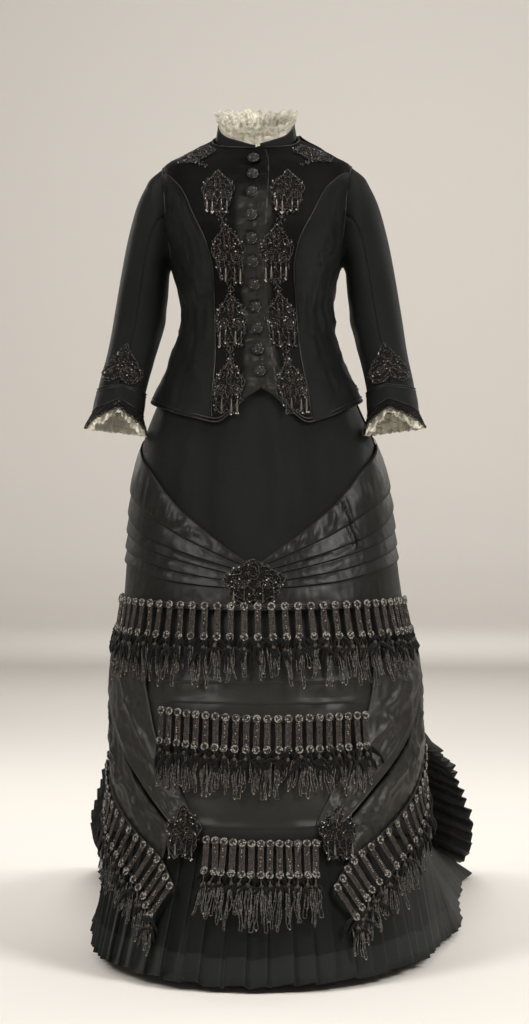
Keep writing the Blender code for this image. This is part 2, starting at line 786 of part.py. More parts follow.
def train_point(side, along, row):
    """Row 0 is the sewn edge; rows rise to the knee, then up the figure to the waist."""
    if row < len(FALL_STEPS):
        point = train_fall(along, FALL_STEPS[row])
        share = FALL_STEPS[row]
    else:
        z = TRAIN_TOP[row - len(FALL_STEPS)]
        point = skirt_point(mix(TRAIN_START, 180, along / 10), z, LAP)
        point.x -= read(SKIRT, z).shift
        share = 0.0
    shift = mix(read(SKIRT, max(point.z, TRAIN_TOP[0])).shift, drift(point.y), share)
    return Vector((side * point.x + shift, point.y, point.z))


def build_train():
    count = len(FALL_STEPS) + len(TRAIN_TOP)
    for word, side in SIDES.items():
        rows = []
        for r in range(count):
            row = [train_point(side, along, r) for along in range(11)]
            row[-1] -= Vector((side * -SEAM / 2, 0, 0))
            rows.append(row if side > 0 else row[::-1])
        cloth(f"train_{word}", rows, FAILLE)


# Knife pleats: the flounce round the hem and the frill round the train

PLEAT_FACE = 0.86  # share of a pleat that shows; the rest folds back


def knife_pleats(name, sewn, free, pleats, sewn_rise, free_rise):
    """A pleated strip between its sewn and its free edge, each a function of the pleat's number.
    Every pleat's face rises across its width, then folds back."""
    places = [(0.0, 0)]
    for k in range(pleats):
        places += [(k + PLEAT_FACE, 1), (k + 1.0, 0)]
    rows = [[], []]
    for place_on, raised in places:
        inner, outer = sewn(place_on), free(place_on)
        step = free(min(place_on + 0.3, pleats)) - free(max(place_on - 0.3, 0))
        out = step.cross(outer - inner).normalized()
        out *= math.copysign(raised, out.z)
        rows[0].append(outer + out * free_rise)
        rows[1].append(inner + out * sewn_rise)
    cloth(name, rows, FAILLE)


FlounceEdge = namedtuple("FlounceEdge", "pleat hem_x hem_y hem_z top_x top_y top_z")

FLOUNCE = (  # from the middle of the front to its end under the train
    FlounceEdge(0.0, 0.000, -0.400, 0.004, 0.000, -0.268, 0.214),
    FlounceEdge(2.7, 0.093, -0.376, 0.008, 0.072, -0.256, 0.214),
    FlounceEdge(5.7, 0.175, -0.306, 0.012, 0.144, -0.217, 0.214),
    FlounceEdge(9.0, 0.236, -0.200, 0.013, 0.201, -0.154, 0.214),
    FlounceEdge(12.8, 0.268, -0.069, 0.013, 0.238, -0.065, 0.214),
    FlounceEdge(14.7, 0.275, 0.000, 0.012, 0.245, -0.009, 0.214),
    FlounceEdge(18.1, 0.295, 0.120, 0.009, 0.239, 0.078, 0.214),
    FlounceEdge(20.9, 0.308, 0.220, 0.006, 0.220, 0.142, 0.214),
    FlounceEdge(23.0, 0.316, 0.350, 0.004, 0.180, 0.206, 0.220),
    FlounceEdge(24.8, 0.320, 0.500, 0.003, 0.160, 0.330, 0.256),
    FlounceEdge(26.9, 0.333, 0.680, 0.003, 0.178, 0.520, 0.228),
    FlounceEdge(28.8, 0.348, 0.850, 0.003, 0.192, 0.700, 0.170),
    FlounceEdge(30.0, 0.366, 0.940, 0.003, 0.205, 0.800, 0.122),
)
FRILL_PLEATS = 60  # three to each row of the table of the train


def mirrored(table, steps, pleats, place_on):
    """The row of a half table for a place on the whole strip, and the side it lies on."""
    along = (place_on / pleats * 2 - 1) * steps
    return read(table, abs(along)), math.copysign(1, along)


def build_flounce():
    """The flounce round the front and sides, running on under the train."""
    half = int(FLOUNCE[-1].pleat)

    def sewn(place_on):
        row, side = mirrored(FLOUNCE, half, 2 * half, place_on)
        return Vector((side * row.top_x + drift(row.top_y), row.top_y, row.top_z))

    def free(place_on):
        row, side = mirrored(FLOUNCE, half, 2 * half, place_on)
        return Vector((side * row.hem_x + drift(row.hem_y), row.hem_y, row.hem_z))

    knife_pleats("hem_flounce", sewn, free, 2 * half, 0.0020, 0.0080)


def build_frill():
    """The frill on the edge of the train, with its free edge spread outwards."""
    last = TRAIN[-1].along

    def corner(k, free):
        side = 1 if k < last else -1
        point = train_edge(k if k <= last else 2 * last - k, free)
        return Vector((side * point.x + drift(point.y), point.y, point.z))

    def on_line(place_on, free):
        along = place_on / FRILL_PLEATS * 2 * last
        k = min(int(along), 2 * last - 1)
        return corner(k, free).lerp(corner(k + 1, free), along - k)

    def sewn(place_on):
        inner, outer = on_line(place_on, False), on_line(place_on, True)
        return inner + (outer - inner).normalized() * 2 * WALL

    knife_pleats("train_frill", sewn, lambda p: on_line(p, True), FRILL_PLEATS, 0.0012, 0.0090)


# Swags: satin drawn in folds from the hips to the middle of the front

Fold = namedtuple("Fold", "order centre inner outer side")

FOLDS = (  # height of each fold's upper line at four angles
    Fold(0, 0.632, 0.712, 0.785, 0.832),
    Fold(1, 0.624, 0.672, 0.718, 0.757),
    Fold(2, 0.616, 0.648, 0.680, 0.727),
    Fold(3, 0.608, 0.634, 0.660, 0.692),
    Fold(4, 0.599, 0.616, 0.638, 0.664),
    Fold(5, 0.590, 0.600, 0.619, 0.640),
    Fold(6, 0.578, 0.578, 0.584, 0.590),
)
FOLD_ANGLES = (2.0, 32.0, 60.0, 96.0)
FOLD_LOW = 0.0034
FOLD_RISE = 0.0055


def fold_height(order, angle):
    fold = FOLDS[order]
    table = [Height(a, z) for a, z in zip(FOLD_ANGLES, fold[1:])]
    return read(table, angle).z


def build_swags():
    angles = [2, 10, 20, 30, 40, 50, 60, 72, 84, 96]
    for word, side in SIDES.items():
        rows = []
        for order in range(len(FOLDS) - 1):
            for upper in (True, False):
                row = []
                for angle in angles:
                    if upper:
                        z, lift = fold_height(order, angle) - 0.0008, FOLD_LOW
                    else:
                        z = fold_height(order + 1, angle) + 0.0008
                        lift = FOLD_LOW + FOLD_RISE * (0.25 + 0.75 * ease(angle / 30))
                        if order == len(FOLDS) - 2:
                            lift = FOLD_LOW
                    row.append(skirt_point(side * angle, z, lift))
                rows.append(row)
        rows = rows[::-1]
        cloth(f"swag_{word}", [r if side > 0 else r[::-1] for r in rows], SATIN)


# Side drapes: satin laid in two deep folds that cross towards the lower middle

Border = namedtuple("Border", "share inner_angle inner_z fold_angle fold_z outer_angle outer_z")

DRAPE = (  # three lines down the drape: inner edge, edge of the upper fold, outer edge
    Border(0.00, 49, 0.500, 92, 0.496, 97, 0.345),
    Border(0.25, 45, 0.430, 77, 0.425, 80, 0.300),
    Border(0.50, 39, 0.360, 62, 0.358, 64, 0.258),
    Border(0.75, 28, 0.290, 45, 0.294, 47, 0.216),
    Border(1.00, 21, 0.232, 30, 0.234, 33, 0.178),
)
DRAPE_LIFT = 0.0039
DRAPE_FOLD = 0.0080  # lift of the upper fold's edge
DRAPE_WRINKLE = 0.0028
DRAPE_ROWS = 10

Across = namedtuple("Across", "line t lift")

DRAPE_COLUMNS = (  # line 0 runs from the inner edge to the fold, line 1 on to the outer edge
    Across(0, 0.0, DRAPE_LIFT), Across(0, 0.33, DRAPE_LIFT), Across(0, 0.7, DRAPE_LIFT),
    Across(0, 1.0, DRAPE_FOLD), Across(1, 0.03, DRAPE_LIFT), Across(1, 0.5, DRAPE_LIFT),
    Across(1, 1.0, DRAPE_LIFT),
)


def build_drapes():
    for word, side in SIDES.items():
        rows = []
        for r in range(DRAPE_ROWS + 1):
            share = r / DRAPE_ROWS
            at = read(DRAPE, share)
            lines = (
                (at.inner_angle, at.inner_z),
                (at.fold_angle, at.fold_z),
                (at.outer_angle, at.outer_z),
            )
            row = []
            for column in DRAPE_COLUMNS:
                start, end = lines[column.line], lines[column.line + 1]
                angle = mix(start[0], end[0], column.t)
                z = mix(start[1], end[1], column.t)
                crease = math.sin(2.4 * math.pi * share + 2.6 * column.t) ** 2
                lift = column.lift + DRAPE_WRINKLE * crease * math.sin(math.pi * column.t)
                row.append(skirt_point(side * angle, z, lift))
            rows.append(row)
        cloth(f"side_drape_{word}", [r if side > 0 else r[::-1] for r in rows][::-1], SATIN)


# Fringes: a header with beaded bars, each ending in a tassel

FringeLine = namedtuple("FringeLine", "share angle z")

Fringe = namedtuple("Fringe", "name bars knots tassel line")

FRINGES = (
    Fringe("upper", 36, True, 0.076, (
        FringeLine(0, -94, 0.577), FringeLine(0.5, 0, 0.567), FringeLine(1, 91, 0.574))),
    Fringe("middle", 22, False, 0.070, (
        FringeLine(0, -40, 0.407), FringeLine(0.5, 0, 0.402), FringeLine(1, 39, 0.406))),
    Fringe("lower", 12, False, 0.076, (
        FringeLine(0, -18.5, 0.216), FringeLine(0.5, 0, 0.214), FringeLine(1, 18, 0.216))),
)
SLANTING_BARS = 15
SLANTING_LEAN = 6.0  # degrees that the feet of its bars stand outwards
SLANTING_LINE = tuple(
    FringeLine(k / 4, border.outer_angle, border.outer_z - 0.0025)
    for k, border in enumerate(reversed(DRAPE))
)
HEADER_HEIGHT = 0.008
HEADER_IN = 0.0017  # the header's inner face above the skirt's middle surface
HEADER_OUT = 0.0115
BAR_LENGTH = 0.048
KNOT_LENGTH = 0.010
PENDANT_DEPTH = 0.0045
PENDANT_LIFT = 0.0125
BAR_SHARE = 0.58  # of the spacing between two bars


def fringe_frame(line, side, share):
    """The header's place and its two directions, along the line and away from the skirt."""
    def at(s):
        row = read(line, min(max(s, 0.0), 1.0))
        return side * row.angle, row.z

    angle, z = at(share)
    out = outward(SKIRT, angle, z)
    along = skirt_point(*at(share + 0.02)) - skirt_point(*at(share - 0.02))
    return angle, z, along.normalized(), out


def below(angle, z, drop, lift):
    """A point over the skirt's surface, a drop lower."""
    return skirt_point(angle, max(z - drop, 0.0), lift)


def build_fringe(name, line, count, knots, tassel, side, lean=0.0):
    shares = []
    for k in range(count):
        shares += [k / count, (k + BAR_SHARE) / count]
    rows = [[], []]
    middle = (HEADER_IN + HEADER_OUT) / 2
    for share in shares:
        angle, z, along, out = fringe_frame(line, side, share)
        for row, drop in zip(rows, (HEADER_HEIGHT, 0.0)):
            row.append(below(angle, z, drop, middle))
    if side < 0:
        rows = [row[::-1] for row in rows]
    header = cloth(name, rows, FRINGE, HEADER_OUT - HEADER_IN)
    settled(header)

    strands = []
    for k in range(count):
        angle, z, along, out = fringe_frame(line, side, (k + BAR_SHARE / 2) / count)
        near = below(*fringe_frame(line, side, k / count)[:2], 0, 0)
        far = below(*fringe_frame(line, side, (k + BAR_SHARE) / count)[:2], 0, 0)
        level = Vector((far.x - near.x, far.y - near.y, 0))
        width = level.length
        level.normalize()
        foot = HEADER_HEIGHT + BAR_LENGTH
        knot = foot + KNOT_LENGTH
        hung = angle + side * lean
        end = knot + tassel * (1 + 0.07 * math.sin(2.3 * k) + 0.05 * math.sin(5.1 * k))
        stages = [
            Stage(below(angle, z, foot, PENDANT_LIFT), along, out, (far - near).length, PENDANT_DEPTH),
            Stage(below(hung, z, knot, PENDANT_LIFT), level, out, 0.5 * width, 0.7 * PENDANT_DEPTH),
            Stage(below(hung, z, end, PENDANT_LIFT), level, out, 0.95 * width, PENDANT_DEPTH),
        ]
        if not knots:
            del stages[0]
        strands.append((below(angle, z, HEADER_HEIGHT, middle), stages))
    hang_strands(header, strands)


def build_fringes():
    for row in FRINGES:
        build_fringe(f"{row.name}_fringe", row.line, row.bars, row.knots, row.tassel, 1)
    for word, side in SIDES.items():
        build_fringe(
            f"slanting_fringe_{word}", SLANTING_LINE, SLANTING_BARS, False, 0.060, side,
            SLANTING_LEAN,
        )


build_bodice()
build_sleeves()
build_cuffs()
build_cuff_lace()
build_collar()
build_neck_ruffle()
build_buttons()
build_motifs()
build_skirt_front()
build_train()
build_flounce()
build_frill()
build_swags()
build_drapes()
build_fringes()
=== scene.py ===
import math

import bpy
import numpy as np
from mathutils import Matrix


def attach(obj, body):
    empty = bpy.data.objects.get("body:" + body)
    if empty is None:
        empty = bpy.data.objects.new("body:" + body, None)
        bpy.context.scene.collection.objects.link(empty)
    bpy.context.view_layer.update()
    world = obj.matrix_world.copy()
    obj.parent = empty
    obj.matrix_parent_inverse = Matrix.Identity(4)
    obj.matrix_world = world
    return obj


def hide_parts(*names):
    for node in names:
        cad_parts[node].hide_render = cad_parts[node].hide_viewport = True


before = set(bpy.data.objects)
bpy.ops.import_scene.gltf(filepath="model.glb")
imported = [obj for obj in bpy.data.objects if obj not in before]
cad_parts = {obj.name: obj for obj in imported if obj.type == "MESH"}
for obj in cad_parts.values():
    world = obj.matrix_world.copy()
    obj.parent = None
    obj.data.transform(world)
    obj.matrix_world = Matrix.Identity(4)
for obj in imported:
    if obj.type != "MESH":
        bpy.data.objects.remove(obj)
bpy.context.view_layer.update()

scene = bpy.context.scene
ROOT = "root"  # nothing on a dress is jointed, so every piece rides on the one body
SHOULDER_LINE = 1.290  # height of the frame's origin above the floor


# Studio
#
# The dress stands on a plain pale floor that curves up into a backdrop, under large soft
# lamps on both sides. The camera looks level from hip height, a little from the right.

class Value:
    """A shader socket that is written as a number: a sum on it adds Math nodes."""

    def __init__(self, finish, socket):
        self.finish = finish
        self.socket = socket

    def math(self, operation, *values):
        return self.finish.node("ShaderNodeMath", {"operation": operation}, dict(enumerate(values)))

    def __add__(self, other):
        return self.math("ADD", self, other)

    def __radd__(self, other):
        return self.math("ADD", other, self)

    def __sub__(self, other):
        return self.math("SUBTRACT", self, other)

    def __rsub__(self, other):
        return self.math("SUBTRACT", other, self)

    def __mul__(self, other):
        return self.math("MULTIPLY", self, other)

    def most(self, other):
        return self.math("MAXIMUM", self, other)

    def sine(self):
        return self.math("SINE", self)

    def between(self, low, high):
        """0 at low, 1 at high, and smooth between."""
        settings = {"interpolation_type": "SMOOTHSTEP"}
        sockets = {"Value": self, "From Min": low, "From Max": high}
        return self.finish.node("ShaderNodeMapRange", settings, sockets)


class Finish:
    """A procedural material; what is the same all over is set on its shader's own sockets."""

    def __init__(self, name, **settings):
        self.material = bpy.data.materials.new(name)
        self.material.use_nodes = True
        self.tree = self.material.node_tree
        self.shader = self.tree.nodes["Principled BSDF"]
        self.set(**settings)

    def node(self, kind, settings=None, sockets=None, output=0):
        made = self.tree.nodes.new(kind)
        for name, value in (settings or {}).items():
            setattr(made, name, value)
        for name, value in (sockets or {}).items():
            self.feed(made.inputs[name], value)
        return Value(self, made.outputs[output])

    def feed(self, socket, value):
        if isinstance(value, Value):
            self.tree.links.new(value.socket, socket)
        elif socket.type == "RGBA" and len(value) == 3:
            socket.default_value = (*value, 1)
        else:
            socket.default_value = value

    def set(self, **settings):
        for name, value in settings.items():
            label = name.replace("_", " ").title().replace("Ior", "IOR")
            self.feed(self.shader.inputs[label], value)

    def blend(self, factor, first, second):
        """A colour between two, by a value from 0 to 1."""
        sockets = {0: factor, 6: first, 7: second}
        return self.node("ShaderNodeMix", {"data_type": "RGBA"}, sockets, output=2)

    def speckle(self, size, detail=3.0, roughness=0.6):
        """Uneven cloudiness from 0 to 1; size is in metres."""
        place = self.node("ShaderNodeTexCoord", output=3)
        sockets = {"Vector": place, "Scale": 1 / size, "Detail": detail, "Roughness": roughness}
        return self.node("ShaderNodeTexNoise", None, sockets)

    def place(self):
        """The place on the cloth: distances along and down it in metres, and its mark."""
        return self.node("ShaderNodeAttribute", {"attribute_name": "weave"}, output=1)

    def weave(self):
        """The three parts of the place on the cloth."""
        along = self.node("ShaderNodeSeparateXYZ", None, {"Vector": self.place()})
        down, mark = (Value(self, along.socket.node.outputs[k]) for k in (1, 2))
        return along, down, mark

    def relief(self, height, depth):
        """A fine relief that is too small to model; depth is in metres."""
        bump = self.node("ShaderNodeBump", None, {"Height": height, "Distance": depth})
        self.set(normal=bump)


backdrop_finish = Finish("backdrop_paper", base_color=(0.80, 0.765, 0.72), roughness=0.95)
FLOOR_Z = -SHOULDER_LINE - 0.0005
SWEEP = (  # distance from the dress, and height of the paper there
    (0.01, 0), (13.0, 0), (13.7, 0.06), (14.3, 0.26), (14.7, 0.65), (14.9, 1.3), (14.95, 9.0),
)
SWEEP_SIDES = 96
sweep_points = []
for reach, rise in SWEEP:
    for k in range(SWEEP_SIDES):
        turn = 2 * math.pi * k / SWEEP_SIDES
        sweep_points.append((reach * math.cos(turn), reach * math.sin(turn), FLOOR_Z + rise))
sweep_faces = []
for row in range(len(SWEEP) - 1):
    for k in range(SWEEP_SIDES):
        here, after = row * SWEEP_SIDES + k, row * SWEEP_SIDES + (k + 1) % SWEEP_SIDES
        sweep_faces.append((here, here + SWEEP_SIDES, after + SWEEP_SIDES, after))
sweep_mesh = bpy.data.meshes.new("backdrop")
sweep_mesh.from_pydata(sweep_points, [], sweep_faces)
sweep_mesh.materials.append(backdrop_finish.material)
sweep_mesh.shade_smooth()
backdrop = bpy.data.objects.new("backdrop", sweep_mesh)
scene.collection.objects.link(backdrop)

VIEW_TURN = math.radians(4.0)
VIEW_DISTANCE = 4.5
VIEW_HEIGHT = 0.712 - SHOULDER_LINE
VIEW_ASIDE = 0.012
FOCAL_LENGTH = 97.7
camera_data = bpy.data.cameras.new("camera")
camera_data.lens = FOCAL_LENGTH
camera = bpy.data.objects.new("camera", camera_data)
camera.location = (
    VIEW_DISTANCE * math.sin(VIEW_TURN) + VIEW_ASIDE * math.cos(VIEW_TURN),
    -VIEW_DISTANCE * math.cos(VIEW_TURN) + VIEW_ASIDE * math.sin(VIEW_TURN),
    VIEW_HEIGHT,
)
camera.rotation_euler = (math.pi / 2, 0, VIEW_TURN)
scene.collection.objects.link(camera)
scene.camera = camera

LAMPS = [  # name, place, what it faces, size, power
    ("lamp_left", (-2.3, -2.5, 1.7), (0, 0, -0.4), 1.5, 92),
    ("lamp_right", (2.7, -2.1, 1.6), (0, 0, -0.5), 1.4, 125),
    ("lamp_low", (0.4, -3.6, -0.9), (0, 0, -0.9), 1.2, 7),
    ("lamp_top", (0.0, 0.4, 2.2), (0, 0.2, -0.6), 1.8, 24),
    ("lamp_back_left", (-2.4, 2.9, 0.8), (0, 0.3, -0.5), 1.4, 22),
    ("lamp_back_right", (2.4, 2.9, 0.8), (0, 0.3, -0.5), 1.4, 22),
]
WALL_LAMPS = (("behind", 112), ("beside_left", 26), ("before", 20), ("beside_right", 26))
WALL_ROWS = (  # name, distance from the dress, distance and height of what it lights, share of power
    ("near", 1.5, 7.4, -0.9, 1.0), ("middle", 5.2, 9.6, -1.2, 0.75), ("far", 9.0, 14.8, 1.4, 1.35),
)
WALL_LAMP_HEIGHT = 2.6
WALL_LAMP_SIZE = 2.2
for k, (word, power) in enumerate(WALL_LAMPS):
    turn = math.pi / 2 * (1 + k)
    aim = (math.cos(turn), math.sin(turn))
    for row, start, end, rise, strength in WALL_ROWS:
        place = (start * aim[0], start * aim[1], WALL_LAMP_HEIGHT)
        target = (end * aim[0], end * aim[1], rise)
        LAMPS.append((f"lamp_{word}_{row}", place, target, WALL_LAMP_SIZE, power * strength))
for name, place, target, size, power in LAMPS:
    lamp_data = bpy.data.lights.new(name, "AREA")
    lamp_data.size = size
    lamp_data.energy = power
    lamp_data.color = (1.0, 0.975, 0.94)
    lamp = bpy.data.objects.new(name, lamp_data)
    lamp.location = place
    facing = np.array(target, float) - np.array(place, float)
    pitch = math.atan2(math.hypot(facing[0], facing[1]), -facing[2])
    lamp.rotation_euler = (pitch, 0, math.atan2(-facing[0], facing[1]))
    lamp.visible_camera = False
    scene.collection.objects.link(lamp)

world = bpy.data.worlds.new("room")
world.use_nodes = True
world.node_tree.nodes["Background"].inputs["Color"].default_value = (1.0, 0.97, 0.93, 1)
world.node_tree.nodes["Background"].inputs["Strength"].default_value = 0.11
scene.world = world
scene.view_settings.view_transform = "Standard"


# Skirt front
#
# One breadth of ribbed black silk faille, lined and cut without gathers at the waist. It falls
# smoothly over the hips, with a few soft vertical folds, and has flat tucks across its middle.

class Table:
    """Rows of measures, read along their first column on a smooth curve with no overshoot."""

    def __init__(self, *rows):
        rows = np.array(rows, float)
        self.keys, self.values = rows[:, 0], rows[:, 1:]
        rise = np.diff(self.values, axis=0) / np.diff(self.keys)[:, None]
        product = rise[:-1] * rise[1:]
        total = np.where(np.abs(rise[:-1] + rise[1:]) < 1e-12, 1.0, rise[:-1] + rise[1:])
        inner = np.where(product > 0, 2 * product / total, 0.0)
        self.slopes = np.vstack([rise[:1], inner, rise[-1:]])

    def __call__(self, at):
        at = np.clip(np.asarray(at, float), self.keys[0], self.keys[-1])
        i = np.clip(np.searchsorted(self.keys, at, side="right") - 1, 0, len(self.keys) - 2)
        span = (self.keys[i + 1] - self.keys[i])[..., None]
        t = (at - self.keys[i])[..., None] / span
        start, end = self.values[i], self.values[i + 1]
        read = hermite(start, self.slopes[i] * span, end, self.slopes[i + 1] * span, t)
        return read[..., 0] if read.shape[-1] == 1 else np.moveaxis(read, -1, 0)


def hermite(start, start_slope, end, end_slope, t):
    """A cubic between two values with given slopes, at t from 0 to 1."""
    return (
        start * (1 + 2 * t) * (1 - t) ** 2
        + start_slope * t * (1 - t) ** 2
        + end * t * t * (3 - 2 * t)
        + end_slope * t * t * (t - 1)
    )


SKIRT = Table(  # height above the floor, half width, depth in front, depth behind, shift
    (0.000, 0.2850, 0.4080, 0.4700, 0.0160), (0.050, 0.2790, 0.3780, 0.4550, 0.0160),
    (0.100, 0.2720, 0.3480, 0.4400, 0.0160), (0.150, 0.2630, 0.3150, 0.4250, 0.0160),
    (0.200, 0.2540, 0.2830, 0.4100, 0.0160), (0.270, 0.2500, 0.2630, 0.3850, 0.0160),
    (0.340, 0.2480, 0.2450, 0.3500, 0.0160), (0.430, 0.2440, 0.2240, 0.3100, 0.0150),
    (0.500, 0.2350, 0.2080, 0.2800, 0.0120), (0.590, 0.2190, 0.1880, 0.2500, 0.0090),
    (0.657, 0.2130, 0.1730, 0.2320, 0.0070), (0.725, 0.2070, 0.1590, 0.2150, 0.0060),
    (0.762, 0.2020, 0.1510, 0.2040, 0.0050), (0.820, 0.1870, 0.1390, 0.1820, 0.0030),
    (0.853, 0.1740, 0.1320, 0.1680, 0.0010), (0.893, 0.1570, 0.1220, 0.1450, 0.0000),
    (0.930, 0.1430, 0.1130, 0.1250, 0.0000), (0.956, 0.1320, 0.1060, 0.1120, 0.0000),
    (0.990, 0.1215, 0.0960, 0.0990, 0.0000), (1.032, 0.1160, 0.0890, 0.0910, 0.0000),
)


def unit(vectors):
    return vectors / np.maximum(np.linalg.norm(vectors, axis=-1, keepdims=True), 1e-9)


def on_section(form, angle, z):
    """Points of a form's level sections; the angle runs from the front towards +X."""
    angle, z = np.broadcast_arrays(np.asarray(angle, float), np.asarray(z, float))
    half_width, front, back, shift = form(z)
    turn = np.radians(angle)
    depth = np.where(np.cos(turn) > 0, front, back)
    across = shift + half_width * np.sin(turn)
    return np.stack([across, -depth * np.cos(turn), z - SHOULDER_LINE], axis=-1)


def outward(form, angle, z):
    """The form's outward normals."""
    angle, z = np.broadcast_arrays(np.asarray(angle, float), np.asarray(z, float))
    across = on_section(form, angle + 1, z) - on_section(form, angle - 1, z)
    low, high = np.maximum(z - 0.004, form.keys[0]), np.minimum(z + 0.004, form.keys[-1])
    upward = on_section(form, angle, high) - on_section(form, angle, low)
    return unit(np.cross(across, upward))


def pushed(points, form, angle, z, lift):
    """Points of a form, moved along its outward normals."""
    return points + outward(form, angle, z) * np.asarray(lift, float)[..., None]


def on_form(form, angle, z, lift=0.0):
    return pushed(on_section(form, angle, z), form, angle, z, lift)


def mix(a, b, t):
    return a + (b - a) * t


def ease(t):
    """0 below t = 0, 1 above t = 1, and smooth between."""
    t = np.clip(t, 0.0, 1.0)
    return t * t * (3 - 2 * t)


def bell(t):
    """1 at t = 0, and falling away smoothly on both sides."""
    return np.exp(-(t ** 2))


def crumple(points, size, seed, stretch=(1, 1, 1)):
    """Soft uneven waves over points, from about -1 to 1; stretch lengthens them along an axis."""
    chance = np.random.default_rng(seed)
    total = np.zeros(points.shape[:-1])
    for _ in range(9):
        direction = chance.normal(size=3)
        direction /= np.linalg.norm(direction) * np.array(stretch, float)
        length = size * chance.uniform(0.55, 1.6)
        total += np.sin(points @ direction * 2 * math.pi / length + chance.uniform(0, 6.3))
    return total / 4


def sharp_creases(points, size, seed, stretch=(1, 1, 1)):
    """Creases with narrow ridges, as in silk that was folded and crushed, from 0 to 1."""
    bent = points + 0.35 * size * crumple(points, 1.7 * size, seed + 500)[..., None]
    ridge = 1 - np.abs(np.clip(crumple(bent, size, seed, stretch), -1, 1))
    other = 1 - np.abs(np.clip(crumple(bent, 0.6 * size, seed + 1, stretch), -1, 1))
    return 0.65 * ridge ** 2.2 + 0.35 * other ** 2.2


def grid_faces(rows, columns, ring=False):
    """Faces of a grid of points; a ring closes on itself."""
    last = columns if ring else columns - 1
    r, c = np.meshgrid(np.arange(rows - 1), np.arange(last), indexing="ij")
    after = (c + 1) % columns
    corners = (r * columns + c, r * columns + after, (r + 1) * columns + after, (r + 1) * columns + c)
    return np.stack(corners, axis=-1).reshape(-1, 4)


def spans(points, axis, ring=False):
    """Distance from each point of a grid to the next."""
    steps = np.linalg.norm(np.diff(points, axis=axis), axis=-1)
    if ring:
        last = np.linalg.norm(points[:, :1] - points[:, -1:], axis=-1)
        steps = np.concatenate([steps, last], axis=1)
    return steps


def grid_weave(points):
    """Distances along each row and down each column of a grid."""
    along = np.zeros(points.shape[:2])
    along[:, 1:] = np.cumsum(spans(points, 1), axis=1)
    down = np.zeros(points.shape[:2])
    down[1:] = np.cumsum(spans(points, 0), axis=0)
    return np.stack([along, down, np.zeros_like(along)], axis=-1)


class Heap:
    """Parts of one piece, gathered into one mesh."""

    def __init__(self):
        self.points, self.weaves, self.faces, self.finishes, self.used = [], [], [], [], []
        self.count = 0

    def add(self, points, faces, finish, weave=None):
        if finish not in self.used:
            self.used.append(finish)
        points = np.asarray(points, float).reshape(-1, 3)
        weave = np.zeros_like(points) if weave is None else np.asarray(weave, float).reshape(-1, 3)
        self.points.append(points)
        self.weaves.append(weave)
        self.faces += (np.asarray(faces) + self.count).tolist()
        self.finishes += [self.used.index(finish)] * len(faces)
        self.count += len(points)

    def grid(self, points, finish, ring=False, weave=None):
        rows, columns = points.shape[:2]
        weave = grid_weave(points) if weave is None else weave
        self.add(points, grid_faces(rows, columns, ring), finish, weave)

    def piece(self, name, nodes):
        """The finished piece, standing for its CAD nodes."""
        mesh = bpy.data.meshes.new(name)
        mesh.from_pydata(np.concatenate(self.points).tolist(), [], self.faces)
        for finish in self.used:
            mesh.materials.append(finish.material)
        mesh.polygons.foreach_set("material_index", self.finishes)
        weave = mesh.attributes.new("weave", "FLOAT_VECTOR", "POINT")
        weave.data.foreach_set("vector", np.concatenate(self.weaves).astype(np.float32).ravel())
        mesh.shade_smooth()
        mesh.update()
        obj = bpy.data.objects.new(name, mesh)
        scene.collection.objects.link(obj)
        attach(obj, ROOT)
        if nodes:
            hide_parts(*nodes)
        return obj


def grid_area(points, ring=False):
    corners = points.reshape(-1, 3)[grid_faces(*points.shape[:2], ring)]
    crossed = np.cross(corners[:, 2] - corners[:, 0], corners[:, 3] - corners[:, 1])
    return np.linalg.norm(crossed, axis=1).sum() / 2


WALL = 0.0015  # silk with its interlining


def sheet_of_cloth(
    node, cloth, points, finish,
    wall=WALL, ring=False, width=None, mark=None, flip=False,
):
    """One cut piece of cloth through a grid of points, whose rows are flipped where they would
    face inwards. Its flat size is taken off the grid, but for the width of a piece whose rows
    don't run straight across it. A mark from 0 to 1 goes to its finish: on the skirt front it
    marks the crushed satin, on the vest the creased middle strip, and on the swags and drapes
    the lit rows, with painted shade where it is 0."""
    heap = Heap()
    if flip:
        points = points[:, ::-1]
        mark = None if mark is None else mark[:, ::-1]
    weave = grid_weave(points)
    if mark is not None:
        weave[..., 2] = mark
    heap.grid(points, finish, ring, weave)
    obj = heap.piece(f"{node}_{cloth}", [node])
    thicken = obj.modifiers.new("wall", "SOLIDIFY")
    thicken.thickness = wall
    thicken.offset = 0
    width = width or spans(points, 1, ring).sum(axis=1).max()
    length = spans(points, 0).sum(axis=0).max()
    area = min(grid_area(points, ring), width * length)


RIB = 0.0009  # from one rib of the faille to the next
HEM_BAND = 0.045  # height of the hem band that is turned up inside a flounce


def ribbed_silk(name, banded=False, satin_front=False):
    """Black silk faille: fine cross ribs, a soft uneven shine and a greenish cast."""
    finish = Finish(name, specular_ior_level=0.13, coat_roughness=0.36)
    _, down, satin = finish.weave()
    cloud = finish.speckle(0.09)
    worn = finish.speckle(0.011, detail=4)
    ribs = (down * (2 * math.pi / RIB)).sine()
    slub = finish.speckle(0.0022, detail=2)
    shade = cloud * 0.6 + worn * 0.4
    colour = finish.blend(shade, (0.0026, 0.0032, 0.0030), (0.0118, 0.0134, 0.0126))
    rough = 0.43 + worn * 0.16 + ribs * 0.02
    if banded:
        band = 1 - down.between(HEM_BAND - 0.001, HEM_BAND + 0.001)
        colour = finish.blend(band * 0.6, colour, (0.022, 0.025, 0.024))
    if satin_front:
        colour = finish.blend(satin * shade, colour, (0.024, 0.0225, 0.0195))
        finish.set(coat_weight=satin * 0.26)
    finish.set(base_color=colour, roughness=rough)
    finish.relief(ribs * 0.35 + slub * 0.9 + worn * 0.8 + cloud * 2.0, 0.00035)
    return finish


FAILLE = ribbed_silk("black_faille_ribs")

